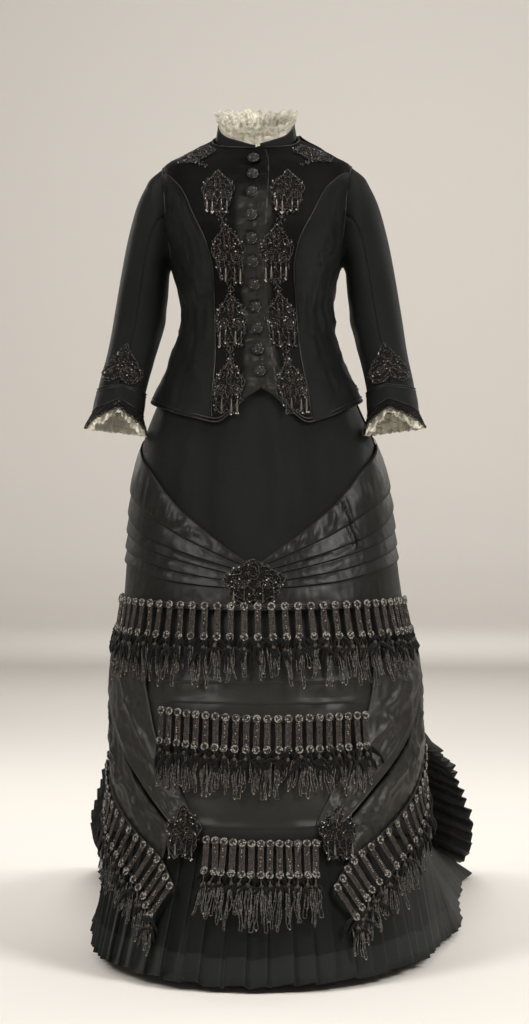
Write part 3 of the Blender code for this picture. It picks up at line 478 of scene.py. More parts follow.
FRONT_REACH = Table(  # height, and the angle of the front breadth's back edge
    (0.200, 156), (0.300, 152), (0.380, 140), (0.460, 124), (0.560, 104), (0.600, 101), (1.040, 101),
)
SKIRT_FOOT = 0.206  # where the flounce hangs from it
WAIST_SEAM = 1.032
TUCKS = (0.2305, 0.4165, 0.4485)  # lower edges of the tucks across the middle
TUCK_RISE = 0.0022
TUCK_FACE = 0.011
SOFT_FOLDS = (  # angle, half width in degrees, share of the rise
    (-31, 5.5, 0.7), (-17, 4.5, 1.0), (-6, 5.0, 0.6), (9, 5.0, 0.9), (24, 6.0, 1.0), (38, 5, 0.6),
)
SOFT_FOLD_RISE = 0.0068
CRUSHED_TOP = 0.552  # the front is crushed between the swags and the hem

front_z = np.unique(np.concatenate([
    np.linspace(SKIRT_FOOT, WAIST_SEAM, 84),
    [foot + step for foot in TUCKS for step in (-0.0006, 0.0006, 0.003, 0.0095)],
]))[:, None]
front_angle = np.linspace(-1, 1, 97)[None, :] * FRONT_REACH(front_z)
front_aside = np.abs(front_angle)
front_lift = np.zeros(front_angle.shape)
for foot in TUCKS:
    above = front_z - foot
    tuck = np.where(above < 0, 0.0, 1 - ease(above / TUCK_FACE))
    front_lift = front_lift + TUCK_RISE * tuck * ease((44 - front_aside) / 8)
hang = ease((0.98 - front_z) / 0.20) * ease((front_z - 0.632 - 0.0024 * front_aside) / 0.05)
for middle, spread, height in SOFT_FOLDS:
    sway = middle + 3.0 * np.sin(7 * front_z + middle)
    front_lift = front_lift + SOFT_FOLD_RISE * height * hang * bell((front_angle - sway) / spread)
front_points = on_form(SKIRT, front_angle, front_z, front_lift)
crushed = ease((CRUSHED_TOP - front_z) / 0.012) * ease((front_z - 0.21) / 0.02)
crushed = crushed * ease((50 - front_aside) / 10)
creased = sharp_creases(front_points, 0.060, 13, (1, 1, 0.6)) * crushed
front_points = pushed(front_points, SKIRT, front_angle, front_z, 0.0030 * creased)
uneven = 0.0011 * crumple(front_points, 0.11, 11)
front_points = pushed(front_points, SKIRT, front_angle, front_z, uneven)
sheet_of_cloth(
    "skirt_front", "silk", front_points, ribbed_silk("black_faille_front", satin_front=True),
    mark=crushed,
)


# Train
#
# Two back breadths of the same faille, sewn down the middle. They leave the figure below the
# hips and spread backwards over the floor, narrower in the middle than at their end.

TRAIN = Table(  # place from the side (0) to the middle (10), sewn edge x y z, frill's free edge x y z
    (0, 0.2330, 0.200, 0.372, 0.2480, 0.300, 0.309), (1, 0.2240, 0.330, 0.345, 0.2780, 0.420, 0.281),
    (2, 0.2280, 0.455, 0.312, 0.3050, 0.520, 0.252), (3, 0.2380, 0.575, 0.272, 0.3260, 0.620, 0.219),
    (4, 0.2500, 0.695, 0.222, 0.3450, 0.730, 0.170), (5, 0.2600, 0.805, 0.166, 0.3670, 0.835, 0.115),
    (6, 0.2560, 0.910, 0.110, 0.3720, 0.950, 0.053), (7, 0.2260, 0.985, 0.070, 0.3480, 1.050, 0.004),
    (8, 0.1600, 1.025, 0.058, 0.2480, 1.125, 0.002), (9, 0.0820, 1.042, 0.056, 0.1270, 1.155, 0.002),
    (10, 0.000, 1.046, 0.056, 0.0000, 1.163, 0.002),
)
TRAIN_TOP = 0.580  # height where it leaves the figure
TRAIN_START = 98.0
LAP = 0.0030
HALF_SEAM = 0.0002
TRAIN_HALF_WIDTH = 0.78  # of the cut, straight across from the middle seam to the hip
FALL_ROWS, UPPER_ROWS = 44, 26
SIDES = {"left": -1, "right": 1}


def drift(y):
    """How far to the right the skirt's middle lies, from its front to the end of the train."""
    return mix(0.016, -0.020, ease((y - 0.2) / 0.8))


def train_edge(along, free):
    row = TRAIN(along)
    return np.stack(row[3:] if free else row[:3], axis=-1)


def train_fall(along, share):
    """The train from where it leaves the figure (share 0) to its sewn edge (share 1)."""
    angle = mix(TRAIN_START, 180, along / 10)
    start = on_form(SKIRT, angle, TRAIN_TOP, LAP)
    above = on_form(SKIRT, angle, TRAIN_TOP + 0.01, LAP)
    start[..., 0] -= SKIRT(TRAIN_TOP)[3]
    above[..., 0] -= SKIRT(TRAIN_TOP + 0.01)[3]
    end = train_edge(along, False)
    away = unit(train_edge(along, True) - end)
    end[..., 2] -= SHOULDER_LINE
    reach = np.linalg.norm(end - start, axis=-1, keepdims=True)
    fall = hermite(start, unit(start - above) * reach * 0.9, end, away * reach * 0.8, share)
    half_width, front, back, _ = SKIRT(np.maximum(fall[..., 2] + SHOULDER_LINE, SKIRT_FOOT))
    depth = np.where(fall[..., 1] > 0, back, front)
    size = np.hypot(fall[..., 0] / half_width, fall[..., 1] / depth)
    grow = np.maximum(1, (1 + 1.6 * LAP / half_width) / size)
    fall[..., 0] *= grow
    fall[..., 1] *= grow
    return fall


train_along = np.linspace(0, 10, 61)[None, :]
fall_share = np.concatenate([np.linspace(1, 0.04, FALL_ROWS), np.zeros(UPPER_ROWS)])[:, None]
train_z = np.concatenate([
    np.full(FALL_ROWS, TRAIN_TOP), np.linspace(TRAIN_TOP, WAIST_SEAM, UPPER_ROWS),
])[:, None]
for word, side in SIDES.items():
    along, share = np.broadcast_arrays(train_along, fall_share)
    z = np.broadcast_to(train_z, along.shape)
    fall = train_fall(along, share[..., None])
    up = on_form(SKIRT, mix(TRAIN_START, 180, along / 10), z, LAP)
    up[..., 0] -= SKIRT(z)[3]
    points = np.where(share[..., None] > 0, fall, up)
    level = np.maximum(points[..., 2] + SHOULDER_LINE, TRAIN_TOP)
    shift = mix(SKIRT(level)[3], drift(points[..., 1]), share)
    sag = 0.006 * ease(share * 2.5) * crumple(points * (side, 1, 1), 0.26, 23, (1, 2.2, 2.2))
    inner = ease(along / 1.2) * ease((10 - along) / 1.2) * ease((1 - share) / 0.12)
    points = points * (side, 1, 1)
    points[..., 0] += shift
    points[..., 2] += sag * inner
    points[:, -1, 0] += side * HALF_SEAM
    sheet_of_cloth(
        f"train_{word}", "silk", points, FAILLE,
        width=TRAIN_HALF_WIDTH, flip=side < 0,
    )


# Knife pleats
#
# A deep flounce is sewn round the hem and runs on under the train, whose own edge carries a
# second frill. Both are straight strips of faille, pressed in flat pleats with a hem band.

PLEATED_FAILLE = ribbed_silk("black_faille_pleated", banded=True)
PLEATS = 60
UNEVEN_HEM = 0.028  # most that a pleat falls short of the hem, as a share of its length
PLEAT_PROFILE = (  # share of a pleat's width, and how far it stands out
    (0.00, 0.00), (0.22, 0.20), (0.46, 0.50), (0.68, 0.80), (0.82, 0.98), (0.870, 1.00),
    (0.885, 0.80), (0.872, 0.40), (0.885, 0.08), (0.94, -0.04),
)
PLEAT_ROWS = 14
FRILL_CORNERS = 20
FRILL_PLEATS = 42
PLEAT_CLOTH = 0.0012
STITCHING = 0.21  # share of the way up where the hem band is stitched
FLOUNCE = Table(  # pleat from the middle of the front, hem x y z, top x y z
    (0.0, 0.000, -0.400, 0.004, 0.000, -0.268, 0.214), (2.7, 0.093, -0.376, 0.008, 0.072, -0.256, 0.214),
    (5.7, 0.175, -0.306, 0.012, 0.144, -0.217, 0.214), (9.0, 0.236, -0.200, 0.013, 0.201, -0.154, 0.214),
    (12.8, 0.268, -0.069, 0.013, 0.238, -0.065, 0.214), (14.7, 0.275, 0.000, 0.012, 0.245, -0.009, 0.214),
    (18.1, 0.295, 0.120, 0.009, 0.239, 0.078, 0.214), (20.9, 0.308, 0.220, 0.006, 0.220, 0.142, 0.214),
    (23.0, 0.316, 0.350, 0.004, 0.180, 0.206, 0.220), (24.8, 0.320, 0.500, 0.003, 0.160, 0.330, 0.256),
    (26.9, 0.333, 0.680, 0.003, 0.178, 0.520, 0.228), (28.8, 0.348, 0.850, 0.003, 0.192, 0.700, 0.170),
    (30.0, 0.366, 0.940, 0.003, 0.205, 0.800, 0.122),
)


def pleated(sewn, free, sewn_rise, free_rise, seed, count=PLEATS):
    """Rows of points from a pleated strip's free edge to its sewn edge."""
    chance = np.random.default_rng(seed)
    number = np.repeat(np.arange(count), len(PLEAT_PROFILE))
    share, rise = (np.tile(column, count) for column in zip(*PLEAT_PROFILE))
    number = np.append(number, count - 1)
    place, rise = np.append(number[:-1] + share, count) * PLEATS / count, np.append(rise, 0.0)
    spread = chance.normal(0, 0.12, count)[number] * rise
    inner, outer = sewn(place), free(np.clip(place + spread, 0, PLEATS))
    step = free(np.minimum(place + 0.4, PLEATS)) - free(np.maximum(place - 0.4, 0))
    out = unit(np.cross(step, outer - inner))
    out *= np.sign(out[:, 2:])
    swell = chance.uniform(0.70, 1.3, count)[number]
    outer = mix(outer, inner, chance.uniform(0, UNEVEN_HEM, count)[number][:, None])
    rows = []
    for up in np.linspace(0, 1, PLEAT_ROWS):
        lift = mix(free_rise, sewn_rise, up) * rise * swell
        lift = lift + 0.0020 * math.sin(math.pi * up) * np.sin(3.1 * number + 2 * up) * (rise > 0)
        stitch = 0.0007 * bell((up - STITCHING) / 0.02)
        rows.append(mix(outer, inner, up) + out * (lift - stitch)[:, None])
    return np.array(rows)


def flounce_line(place, first):
    """The hem (first 0) or the top (first 3) of the flounce, at places counted in pleats."""
    along = (place / PLEATS * 2 - 1) * (PLEATS / 2)
    x, y, z = FLOUNCE(np.abs(along))[first:first + 3]
    return np.stack([np.where(along < 0, -1, 1) * x + drift(y), y, z - SHOULDER_LINE], axis=-1)


def frill_line(place, free):
    """The frill's edges run straight from corner to corner of the train's table."""
    along = place / PLEATS * FRILL_CORNERS
    low = np.clip(along.astype(int), 0, FRILL_CORNERS - 1)
    corners = []
    for k in range(FRILL_CORNERS + 1):
        side = 1 if k < FRILL_CORNERS / 2 else -1
        x, y, z = train_edge(min(k, FRILL_CORNERS - k), free)
        corners.append((side * x + drift(y), y, z - SHOULDER_LINE))
    corners = np.array(corners)
    return mix(corners[low], corners[low + 1], (along - low)[:, None])


def frill_sewn(place):
    inner, outer = frill_line(place, False), frill_line(place, True)
    return inner + unit(outer - inner) * 0.3 * WALL


flounce_points = pleated(
    lambda p: flounce_line(p, 3), lambda p: flounce_line(p, 0), 0.0020, 0.0080, 5
)
frill_points = pleated(frill_sewn, lambda p: frill_line(p, True), 0.0012, 0.0130, 6, FRILL_PLEATS)
for name, points, carrier in (
    ("hem_flounce", flounce_points, "skirt_front_silk"),
    ("train_frill", frill_points, "train_right_silk"),
):
    sheet_of_cloth(name, "silk", points, PLEATED_FAILLE, PLEAT_CLOTH)


# Swags
#
# Black satin is drawn from the side seams to the middle of the front: a broad loose fold, four
# pressed ones under it and a flat one below. It is tacked down under the beaded motif.

def satin_silk(name, dark, pale, crease=0.0016, unmarked_colour=None, shine=0.36, hush=1.0, rough_most=0.14):
    """Black silk satin: a smooth warp face whose creases catch a soft olive light. Where its
    sheet isn't marked, it takes the given dark colour, rougher and without shine: on the swags
    and drapes this is painted shade in the recesses under the folds; on the vest it is the
    satin outside the creased middle strip."""
    finish = Finish(name, specular_ior_level=shine)
    broad = finish.speckle(0.05, detail=4, roughness=0.55)
    fine = finish.speckle(0.009, detail=3)
    along, _, sheet_mark = finish.weave()
    warp = (along * (2 * math.pi / 0.0011)).sine()
    colour = finish.blend(broad * 0.7 + fine * 0.3, dark, pale)
    rough = 0.32 + fine * rough_most + warp * 0.01
    # Where the mark is 0: painted shade on the swags and drapes, the darker outer satin on the vest; metallic
    # takes away the shine there.
    if unmarked_colour:
        colour = finish.blend(sheet_mark, unmarked_colour, colour)
        rough = rough + (1 - sheet_mark) * 0.26
        finish.set(metallic=(1 - sheet_mark) * hush)
    finish.set(base_color=colour, roughness=rough)
    finish.relief(broad * 1.0 + fine * 0.10 + warp * 0.006, crease)
    return finish


SATIN = satin_silk("black_satin_creased", (0.0028, 0.0029, 0.0026), (0.0110, 0.0106, 0.0092))
# Its dark unmarked colour is painted shade, on the rows tucked under each fold and in the groove between the
# pressed creases.
FOLDED_SATIN = satin_silk(
    "folded_satin", (0.0026, 0.0026, 0.0023), (0.0110, 0.0104, 0.0090), unmarked_colour=(0.0004, 0.0004, 0.0004),
    shine=0.26, rough_most=0.24,
)

FOLD_ANGLES = (2.0, 32.0, 60.0, 96.0)
FOLDS = (  # height of each fold's upper line at those angles
    (0.632, 0.712, 0.785, 0.832), (0.624, 0.672, 0.718, 0.757), (0.616, 0.648, 0.680, 0.727),
    (0.608, 0.634, 0.660, 0.692), (0.599, 0.616, 0.638, 0.664), (0.590, 0.600, 0.619, 0.640),
    (0.560, 0.562, 0.570, 0.576),
)
FOLD_LOW = 0.0034
FOLD_RISE = 0.0036
FOLD_GAP = 0.0008
DRAPERY_CLOTH = 0.0010  # unlined satin
SEEN_ROWS = 8  # rows of a fold that catch the light; the rest are tucked under it
FOLD_PROFILE = (  # share of a fold's width from its upper line, and how far it stands out
    (0.00, 0.00), (0.10, 0.12), (0.25, 0.27), (0.42, 0.44), (0.60, 0.62), (0.78, 0.80),
    (0.91, 0.93), (0.975, 1.00), (0.998, 0.92), (0.985, 0.55), (0.960, 0.15),
)
fold_lines = [Table(*zip(FOLD_ANGLES, heights)) for heights in FOLDS]
swag_angle = np.linspace(2, 96, 144)
PRESSED_PAIR = ((0.650, 48.0), (0.735, 39.5))  # two creases cross the folds at the right hip
swag_rows = []
for order in range(len(FOLDS) - 1):
    flat_fold = order == len(FOLDS) - 2
    upper, lower = fold_lines[order](swag_angle), fold_lines[order + 1](swag_angle)
    height = 0.0 if flat_fold else FOLD_RISE * (0.25 + 0.75 * ease(swag_angle / 30))
    slack = 1.5 if order == 0 else 0.5
    # Rows past SEEN_ROWS are tucked under the fold and marked 0: painted shade.
    for row, (share, rise) in enumerate(FOLD_PROFILE):
        measures = (
            mix(upper - FOLD_GAP, lower + FOLD_GAP, share),
            FOLD_LOW + height * rise,
            math.sin(math.pi * min(share, 1)) * slack,
            float(flat_fold or row < SEEN_ROWS),
        )
        swag_rows.append([np.broadcast_to(measure, swag_angle.shape) for measure in measures])
swag_z, swag_lift, swag_slack, swag_lit_mark = np.array(swag_rows)[::-1].transpose(1, 0, 2)
for word, side in SIDES.items():
    z, lift, lit_mark = swag_z, swag_lift, swag_lit_mark
    if side > 0:
        (low_z, low_angle), (high_z, high_angle) = PRESSED_PAIR
        away = swag_angle - mix(low_angle, high_angle, (z - low_z) / (high_z - low_z))
        across = ease((z - low_z) / 0.012) * ease((high_z - z) / 0.012)
        lift = lift + 0.0042 * (bell((away - 1.5) / 0.55) + bell((away + 1.5) / 0.55)) * across
        # Painted shade in the groove between the two pressed creases.
        lit_mark = np.minimum(lit_mark, 1 - 0.85 * across * bell(away / 0.8))
    flat = on_form(SKIRT, side * swag_angle, z, lift)
    creases = 1.6 * sharp_creases(flat, 0.050, 31 + side, (1, 1, 1.8))
    creases = creases + 0.5 * crumple(flat, 0.022, 37 + side)
    near = bell((swag_angle - 34) / 22) + 0.25
    points = pushed(flat, SKIRT, side * swag_angle, z, 0.0020 * creases * swag_slack * near)
    sheet_of_cloth(
        f"swag_{word}", "satin", points, FOLDED_SATIN,
        DRAPERY_CLOTH, mark=lit_mark, flip=side < 0,
    )


# Side drapes
#
# A wide satin panel on each side runs down towards the middle of the hem, with one deep fold
# along it. It is caught at its ends only, so that its cloth falls in long wavy creases.

# Its dark unmarked colour paints shade into the recess under the deep fold.
DRAPE_SATIN = satin_silk(
    "drape_satin_creased", (0.0050, 0.0048, 0.0042), (0.0230, 0.0212, 0.0178), 0.0026,
    unmarked_colour=(0.0004, 0.0004, 0.0004), shine=0.32, rough_most=0.22,
)
DRAPE = Table(  # share down the drape, then angle and height: inner edge, fold, outer edge
    (0.00, 49, 0.500, 92, 0.496, 97, 0.345), (0.25, 45, 0.430, 77, 0.425, 80, 0.300),
    (0.50, 39, 0.360, 62, 0.358, 64, 0.258), (0.75, 28, 0.290, 45, 0.294, 47, 0.216),
    (1.00, 21, 0.232, 30, 0.234, 33, 0.178),
)
DRAPE_LIFT = 0.0039
DRAPE_FOLD = 0.0110
SLANT = np.array((0.55, 0, 0.83))  # the way that the drape's creases run
# Painted shade on the rows in the recess under the fold.
RECESS_SHADE = (0.4, 1.0, 1.0, 1.0, 1.0, 0.9, 0.35)  # how dark the rows under the fold are
RECESS_START = 35
drape_share = np.linspace(0, 1, 70)[:, None]
upper_t = np.concatenate([np.linspace(0, 1.02, 34), [1.035, 1.02, 0.97]])[None, :]
lower_t = np.concatenate([[0.0, 0.05, 0.10, 0.15, 0.19], np.linspace(0.23, 1, 25)])[None, :]
drape_t = np.concatenate([upper_t, 1 + lower_t], axis=1)
inner_angle, inner_z, fold_angle, fold_z, outer_angle, outer_z = DRAPE(drape_share[:, 0])[:, :, None]
drape_angle, drape_z = (
    np.concatenate([mix(inner, fold, upper_t), mix(fold, outer, lower_t)], axis=1)
    for inner, fold, outer in ((inner_angle, fold_angle, outer_angle), (inner_z, fold_z, outer_z))
)
lip = np.concatenate([np.linspace(0, 1, 34) ** 1.6, [1.0, 0.70, 0.05], 0 * lower_t[0]])
drape_lift = DRAPE_LIFT + (DRAPE_FOLD - DRAPE_LIFT) * lip + 0 * drape_angle
drape_free = np.sin(math.pi * (drape_t % 1.0001)) ** 0.7
drape_free = drape_free * (0.35 + 0.65 * np.sin(math.pi * drape_share) ** 0.5)
drape_lit_mark = np.ones(drape_angle.shape)
drape_lit_mark[:, RECESS_START:RECESS_START + len(RECESS_SHADE)] -= RECESS_SHADE
for word, side in SIDES.items():
    flat = on_form(SKIRT, side * drape_angle, drape_z, drape_lift)
    mirrored = flat * (side, 1, 1)
    down_slant = (mirrored[..., 0] * SLANT[0] + mirrored[..., 2] * SLANT[2])[..., None] * SLANT
    along = mirrored - 0.62 * down_slant
    loose = 0.0085 * sharp_creases(along, 0.075, 41 + side)
    loose = loose + 0.0040 * sharp_creases(along, 0.036, 45 + side)
    loose = loose + 0.0007 * crumple(flat, 0.014, 47)
    points = pushed(flat, SKIRT, side * drape_angle, drape_z, loose * drape_free)
    sheet_of_cloth(
        f"side_drape_{word}", "satin", points[::-1], DRAPE_SATIN,
        DRAPERY_CLOTH, mark=drape_lit_mark[::-1], flip=side < 0,
    )


# Fringes
#
# Each fringe is a braid with hanging bars of twisted silk cord. A bar has a round of jet beads
# at both ends; under it are a covered ball, tufts of black chenille and long twisted loops.

BEAD_PROFILE = ((-0.95, 0.40), (0.0, 1.08), (0.95, 0.40))
BALL_PROFILE = ((-1.0, 0.12), (-0.75, 0.66), (-0.28, 0.96), (0.28, 0.96), (0.75, 0.66), (1.0, 0.12))


def cords(heap, finish, paths, radii, facing, sides=6, twist=0.0, phase=0.0):
    """Round cords along paths of equal numbers of points; twist is the length of a cord's turn."""
    paths = np.asarray(paths, float)
    count, length = paths.shape[:2]
    tangent = unit(np.gradient(paths, axis=1))
    across = unit(np.cross(tangent, np.broadcast_to(facing, paths.shape)))
    out = np.cross(across, tangent)
    turn = 2 * math.pi * np.arange(sides) / sides
    along = np.zeros((count, length))
    along[:, 1:] = np.cumsum(np.linalg.norm(np.diff(paths, axis=1), axis=-1), axis=1)
    radii = np.broadcast_to(radii, (count, length))[..., None]
    if twist:
        radii = radii * (1 + 0.26 * np.cos(2 * turn - 2 * math.pi * along[..., None] / twist + phase))
    else:
        radii = radii * np.ones(sides)
    spokes = across[:, :, None] * np.cos(turn)[:, None] + out[:, :, None] * np.sin(turn)[:, None]
    points = paths[:, :, None] + spokes * radii[..., None]
    m, i, j = np.meshgrid(np.arange(count), np.arange(length - 1), np.arange(sides), indexing="ij")
    here = (m * length + i) * sides
    after = (j + 1) % sides
    faces = np.stack([here + j, here + after, here + sides + after, here + sides + j], axis=-1)
    weave = np.zeros(points.shape)
    weave[..., 0] = turn / (2 * math.pi)
    weave[..., 1] = along[..., None]
    heap.add(points, faces.reshape(-1, 4), finish, weave)


def beads(heap, centres, radius, axes, facing, finish, profile=BEAD_PROFILE, sides=5, length=1.0):
    """Beads at centres, threaded along their axes."""
    centres = np.asarray(centres, float).reshape(-1, 3)
    radius = np.broadcast_to(radius, len(centres))[:, None]
    axes = unit(np.broadcast_to(axes, centres.shape))
    steps, widths = (np.array(column)[None, :] for column in zip(*profile))
    paths = centres[:, None] + axes[:, None] * (radius * steps * length)[..., None]
    facing = np.broadcast_to(np.reshape(facing, (-1, 1, 3)), paths.shape)
    cords(heap, finish, paths, radius * widths, facing, sides)


def by_island(finish):
    """A number from 0 to 1 that differs from bead to bead."""
    return finish.node("ShaderNodeNewGeometry", output=8)


def jet_beads(name, dark, pale, share, **settings):
    """Cut jet: black and brownish beads; a share of them are coloured pale as painted glints."""
    finish = Finish(name, specular_ior_level=0.5, **settings)
    chance = by_island(finish)
    painted_glint = chance.between(1 - share - 0.02, 1 - share + 0.02)
    finish.set(base_color=finish.blend(painted_glint * 0.9 + chance * 0.1, dark, pale))
    finish.set(roughness=0.12 + chance * 0.22)
    facet = finish.speckle(0.0016, detail=1)
    finish.relief(facet, 0.0004)
    return finish


def twisted_cord(name, dark, pale, turn, roughness=0.42):
    """Silk cord of two plies; turn is the length of one twist."""
    finish = Finish(name, specular_ior_level=0.4, sheen_weight=0.02)
    around, down, _ = finish.weave()
    ply = (around * (4 * math.pi) - down * (2 * math.pi / turn)).sine()
    fleck = finish.speckle(0.0030, detail=3)
    # The colour is darker between the plies and lighter on their crests, as painted shade and highlight, and
    # flecked with the silk's own uneven tone.
    shade = ply * 0.25 + fleck.between(0.38, 0.66) - 0.15
    finish.set(base_color=finish.blend(shade, dark, pale))
    finish.set(roughness=roughness + fleck * 0.2)
    finish.relief(ply * 0.6 + fleck * 0.5, 0.0003)
    return finish


def chenille_silk():
    """Black chenille: a dense matt pile that scatters light."""
    finish = Finish("black_chenille", sheen_weight=0.06, sheen_roughness=0.5, specular_ior_level=0.15)
    pile = finish.speckle(0.0011, detail=2)
    finish.set(base_color=finish.blend(pile, (0.0012, 0.0012, 0.0012), (0.0060, 0.0057, 0.0054)))
    finish.set(roughness=0.75 + pile * 0.2)
    finish.relief(pile, 0.0012)
    return finish


# Each bead finish paints its pale colour on a share of beads as glints. The medallion beads' grey is partly
# their own colour and partly painted glint.
ROUND_BEADS = jet_beads(
    "medallion_beads", (0.075, 0.069, 0.060), (0.24, 0.23, 0.205), 0.45, metallic=0.2
)
HEART_BEADS = jet_beads("medallion_hearts", (0.012, 0.009, 0.007), (0.30, 0.27, 0.24), 0.22)
SPARK_BEADS = jet_beads("bar_beads", (0.020, 0.014, 0.010), (0.34, 0.28, 0.22), 0.35, metallic=0.2)
BAR_CORD = twisted_cord("brown_black_cord", (0.0035, 0.0026, 0.0020), (0.072, 0.053, 0.041), 0.0036)
# The lock cord's pale colour is partly its own silver-brown and partly painted highlight on its shiny loops.
LOCK_CORD = twisted_cord("lock_cord", (0.0036, 0.0030, 0.0026), (0.200, 0.178, 0.156), 0.0030, 0.26)
BALL_SILK = twisted_cord("covered_ball", (0.012, 0.008, 0.005), (0.115, 0.076, 0.050), 0.0020)
CHENILLE = chenille_silk()
BRAID = twisted_cord("fringe_braid", (0.0040, 0.0034, 0.0030), (0.030, 0.024, 0.020), 0.0030)

FRINGES = (  # name, bars, bar length, tassel length, line: share, angle, height
    ("upper", 36, 0.047, 0.076, Table((0, -94, 0.577), (0.5, 0, 0.567), (1, 91, 0.574))),
    ("middle", 22, 0.047, 0.072, Table((0, -36.5, 0.407), (0.5, 3, 0.396), (1, 42.5, 0.400))),
    ("lower", 13, 0.047, 0.076, Table((0, -16.7, 0.214), (0.5, 3, 0.209), (1, 22.5, 0.209))),
)
SLANTING_BARS = 18
SLANTING_BAR, SLANTING_TASSEL = 0.042, 0.062
SLANTING_LEAN = 6.0
SLANTING_END = (0, 26.5, 0.139)  # the fringe runs on past the drape, over the flounce
BRAID_CORDS = (0.0012, 0.0042, 0.0072)  # how far below the line each cord of the braid lies
HALF_HEADER = 0.004
BALL_DROP = 0.016  # from the foot of a bar to its ball
BAR_SHARE = 0.58
BRAID_LIFT = 0.0072
PENDANT_LIFT = 0.0125
ROUNDS = (  # of a medallion: finish, radius, beads, bead size, lift
    (ROUND_BEADS, 0.0050, 12, 0.00175, 0.0020), (HEART_BEADS, 0.0022, 5, 0.00145, 0.0030),
)
CORD_PLACES = (-0.0038, -0.0013, 0.0013, 0.0038)
CORD_RADIUS = 0.00145
BEADED_SHARE = 0.6  # of the bars
TUFT_WIDTHS = 0.0022 * np.array((0.6, 1.1, 1.15, 1.1, 0.9, 0.25))
LOCK_RADIUS = 0.00066


def below(angle, z, drop, lift):
    return on_form(SKIRT, angle, np.maximum(z - drop, 0.0), lift)


def medallion(heap, centres, out, wide, down, chance):
    """A disc with two rounds of beads at each centre."""
    for finish, radius, number, size, lift in ROUNDS:
        start = chance.uniform(0, 1, (len(centres), 1))
        turn = 2 * math.pi * (np.arange(number)[None, :] + start) / number
        spoke = wide[:, None] * np.cos(turn)[..., None] + down[:, None] * np.sin(turn)[..., None]
        spots = centres[:, None] + spoke * radius + out[:, None] * lift
        faced = np.broadcast_to(out[:, None], spots.shape).reshape(-1, 3)
        beads(heap, spots, size, np.cross(spoke, out[:, None]).reshape(-1, 3), faced, finish)
    disc = np.linspace(-1, 1, 6)
    paths = centres[:, None] + out[:, None] * (disc * 0.0016)[:, None]
    cords(heap, BAR_CORD, paths, 0.0058 * np.sqrt(1.02 - disc ** 2), wide[:, None], 7)


def bars(heap, head, foot, out, wide, chance):
    """Four cords between each head and foot, and a line of fine beads on most of them."""
    count = len(head)
    run = np.linspace(0.08, 0.92, 11)
    for place in CORD_PLACES:
        bow = 1 - 0.10 * np.sin(math.pi * run) + chance.normal(0, 0.03, (count, 1))
        paths = head[:, None] + (foot - head)[:, None] * run[None, :, None]
        paths = paths + wide[:, None] * (place * bow)[..., None]
        cords(heap, BAR_CORD, paths, CORD_RADIUS, out[:, None], 5, 0.0052, place * 900)
    beaded = np.flatnonzero(chance.uniform(size=count) < BEADED_SHARE)
    down = unit(foot - head)
    for step in np.linspace(0.16, 0.84, 11):
        jitter = chance.normal(0, 0.0007, (len(beaded), 1))
        spots = mix(head[beaded], foot[beaded], step) + out[beaded] * 0.0019 + wide[beaded] * jitter
        beads(heap, spots, 0.00100, down[beaded], out[beaded], SPARK_BEADS)


def tufts(heap, foot, ball, out, level, chance):
    """Tufts of chenille that fan out from each bar's foot and from its ball."""
    count = len(foot)
    steps = np.linspace(0, 1, len(TUFT_WIDTHS))
    t = steps[None, :, None]
    for tuft in range(9):
        reach = chance.uniform(0.014, 0.036, (count, 1, 1))
        fan = chance.normal(0, 0.75, (count, 1, 1)) + (tuft % 5 - 2) * 0.25
        lift = chance.uniform(-0.05, 0.75, (count, 1, 1))
        scatter = chance.normal(0, 0.003, (count, 1, 1))
        start = (foot if tuft < 4 else ball)[:, None] + level[:, None] * scatter
        down = np.array((0, 0, -1.0)) * reach * (t * 0.55 + 0.45 * t ** 2)
        aside = level[:, None] * reach * fan * (t - 0.35 * t ** 2)
        forth = out[:, None] * reach * lift * (0.8 * t - 0.6 * t ** 2)
        paths = start + down + aside + forth + chance.normal(0, 0.0006, (count, len(steps), 3))
        ragged = TUFT_WIDTHS * chance.uniform(0.8, 1.25, (count, len(steps)))
        cords(heap, CHENILLE, paths, ragged, out[:, None] + (0.1, 0.2, 0.3), 5)


def locks(heap, angle, z, stand, length, pitch, out, level, chance):
    """Long twisted loops that hang from each ball, with a bead at their lowest point."""
    count = len(angle)
    steps = np.linspace(0, 1, 13)
    u = np.abs(2 * steps - 1)
    for lock in range(4):
        drop = length * chance.uniform(0.50, 1.05, (count, 1))
        gap = chance.uniform(0.0008, 0.0030, (count, 1))
        begin = (lock - 1.5) * 0.20 * pitch + chance.normal(0, 0.0016, (count, 1))
        swing = chance.normal(0, 0.0050, (count, 1))
        fall = drop * (1 - u ** 2.6)
        apart = np.sign(steps - 0.5) * gap * np.sin(math.pi * np.clip(1 - u, 0, 0.5)) ** 0.6
        wave = 0.0013 * np.sin(fall * 180 + chance.uniform(0, 6.3, (count, 1)))
        aside = begin + swing * (fall / drop) ** 1.5 + apart + wave
        base = below(angle[:, None], z[:, None] - fall, 0.0, stand[:, None] + 0.001 + 0.0006 * lock)
        paths = base + level[:, None] * aside[..., None]
        cords(heap, LOCK_CORD, paths, LOCK_RADIUS, out[:, None], 4, 0.0042, lock)
        beads(heap, paths[:, len(steps) // 2] + (0, 0, -0.0012), 0.0012, level, out, SPARK_BEADS)


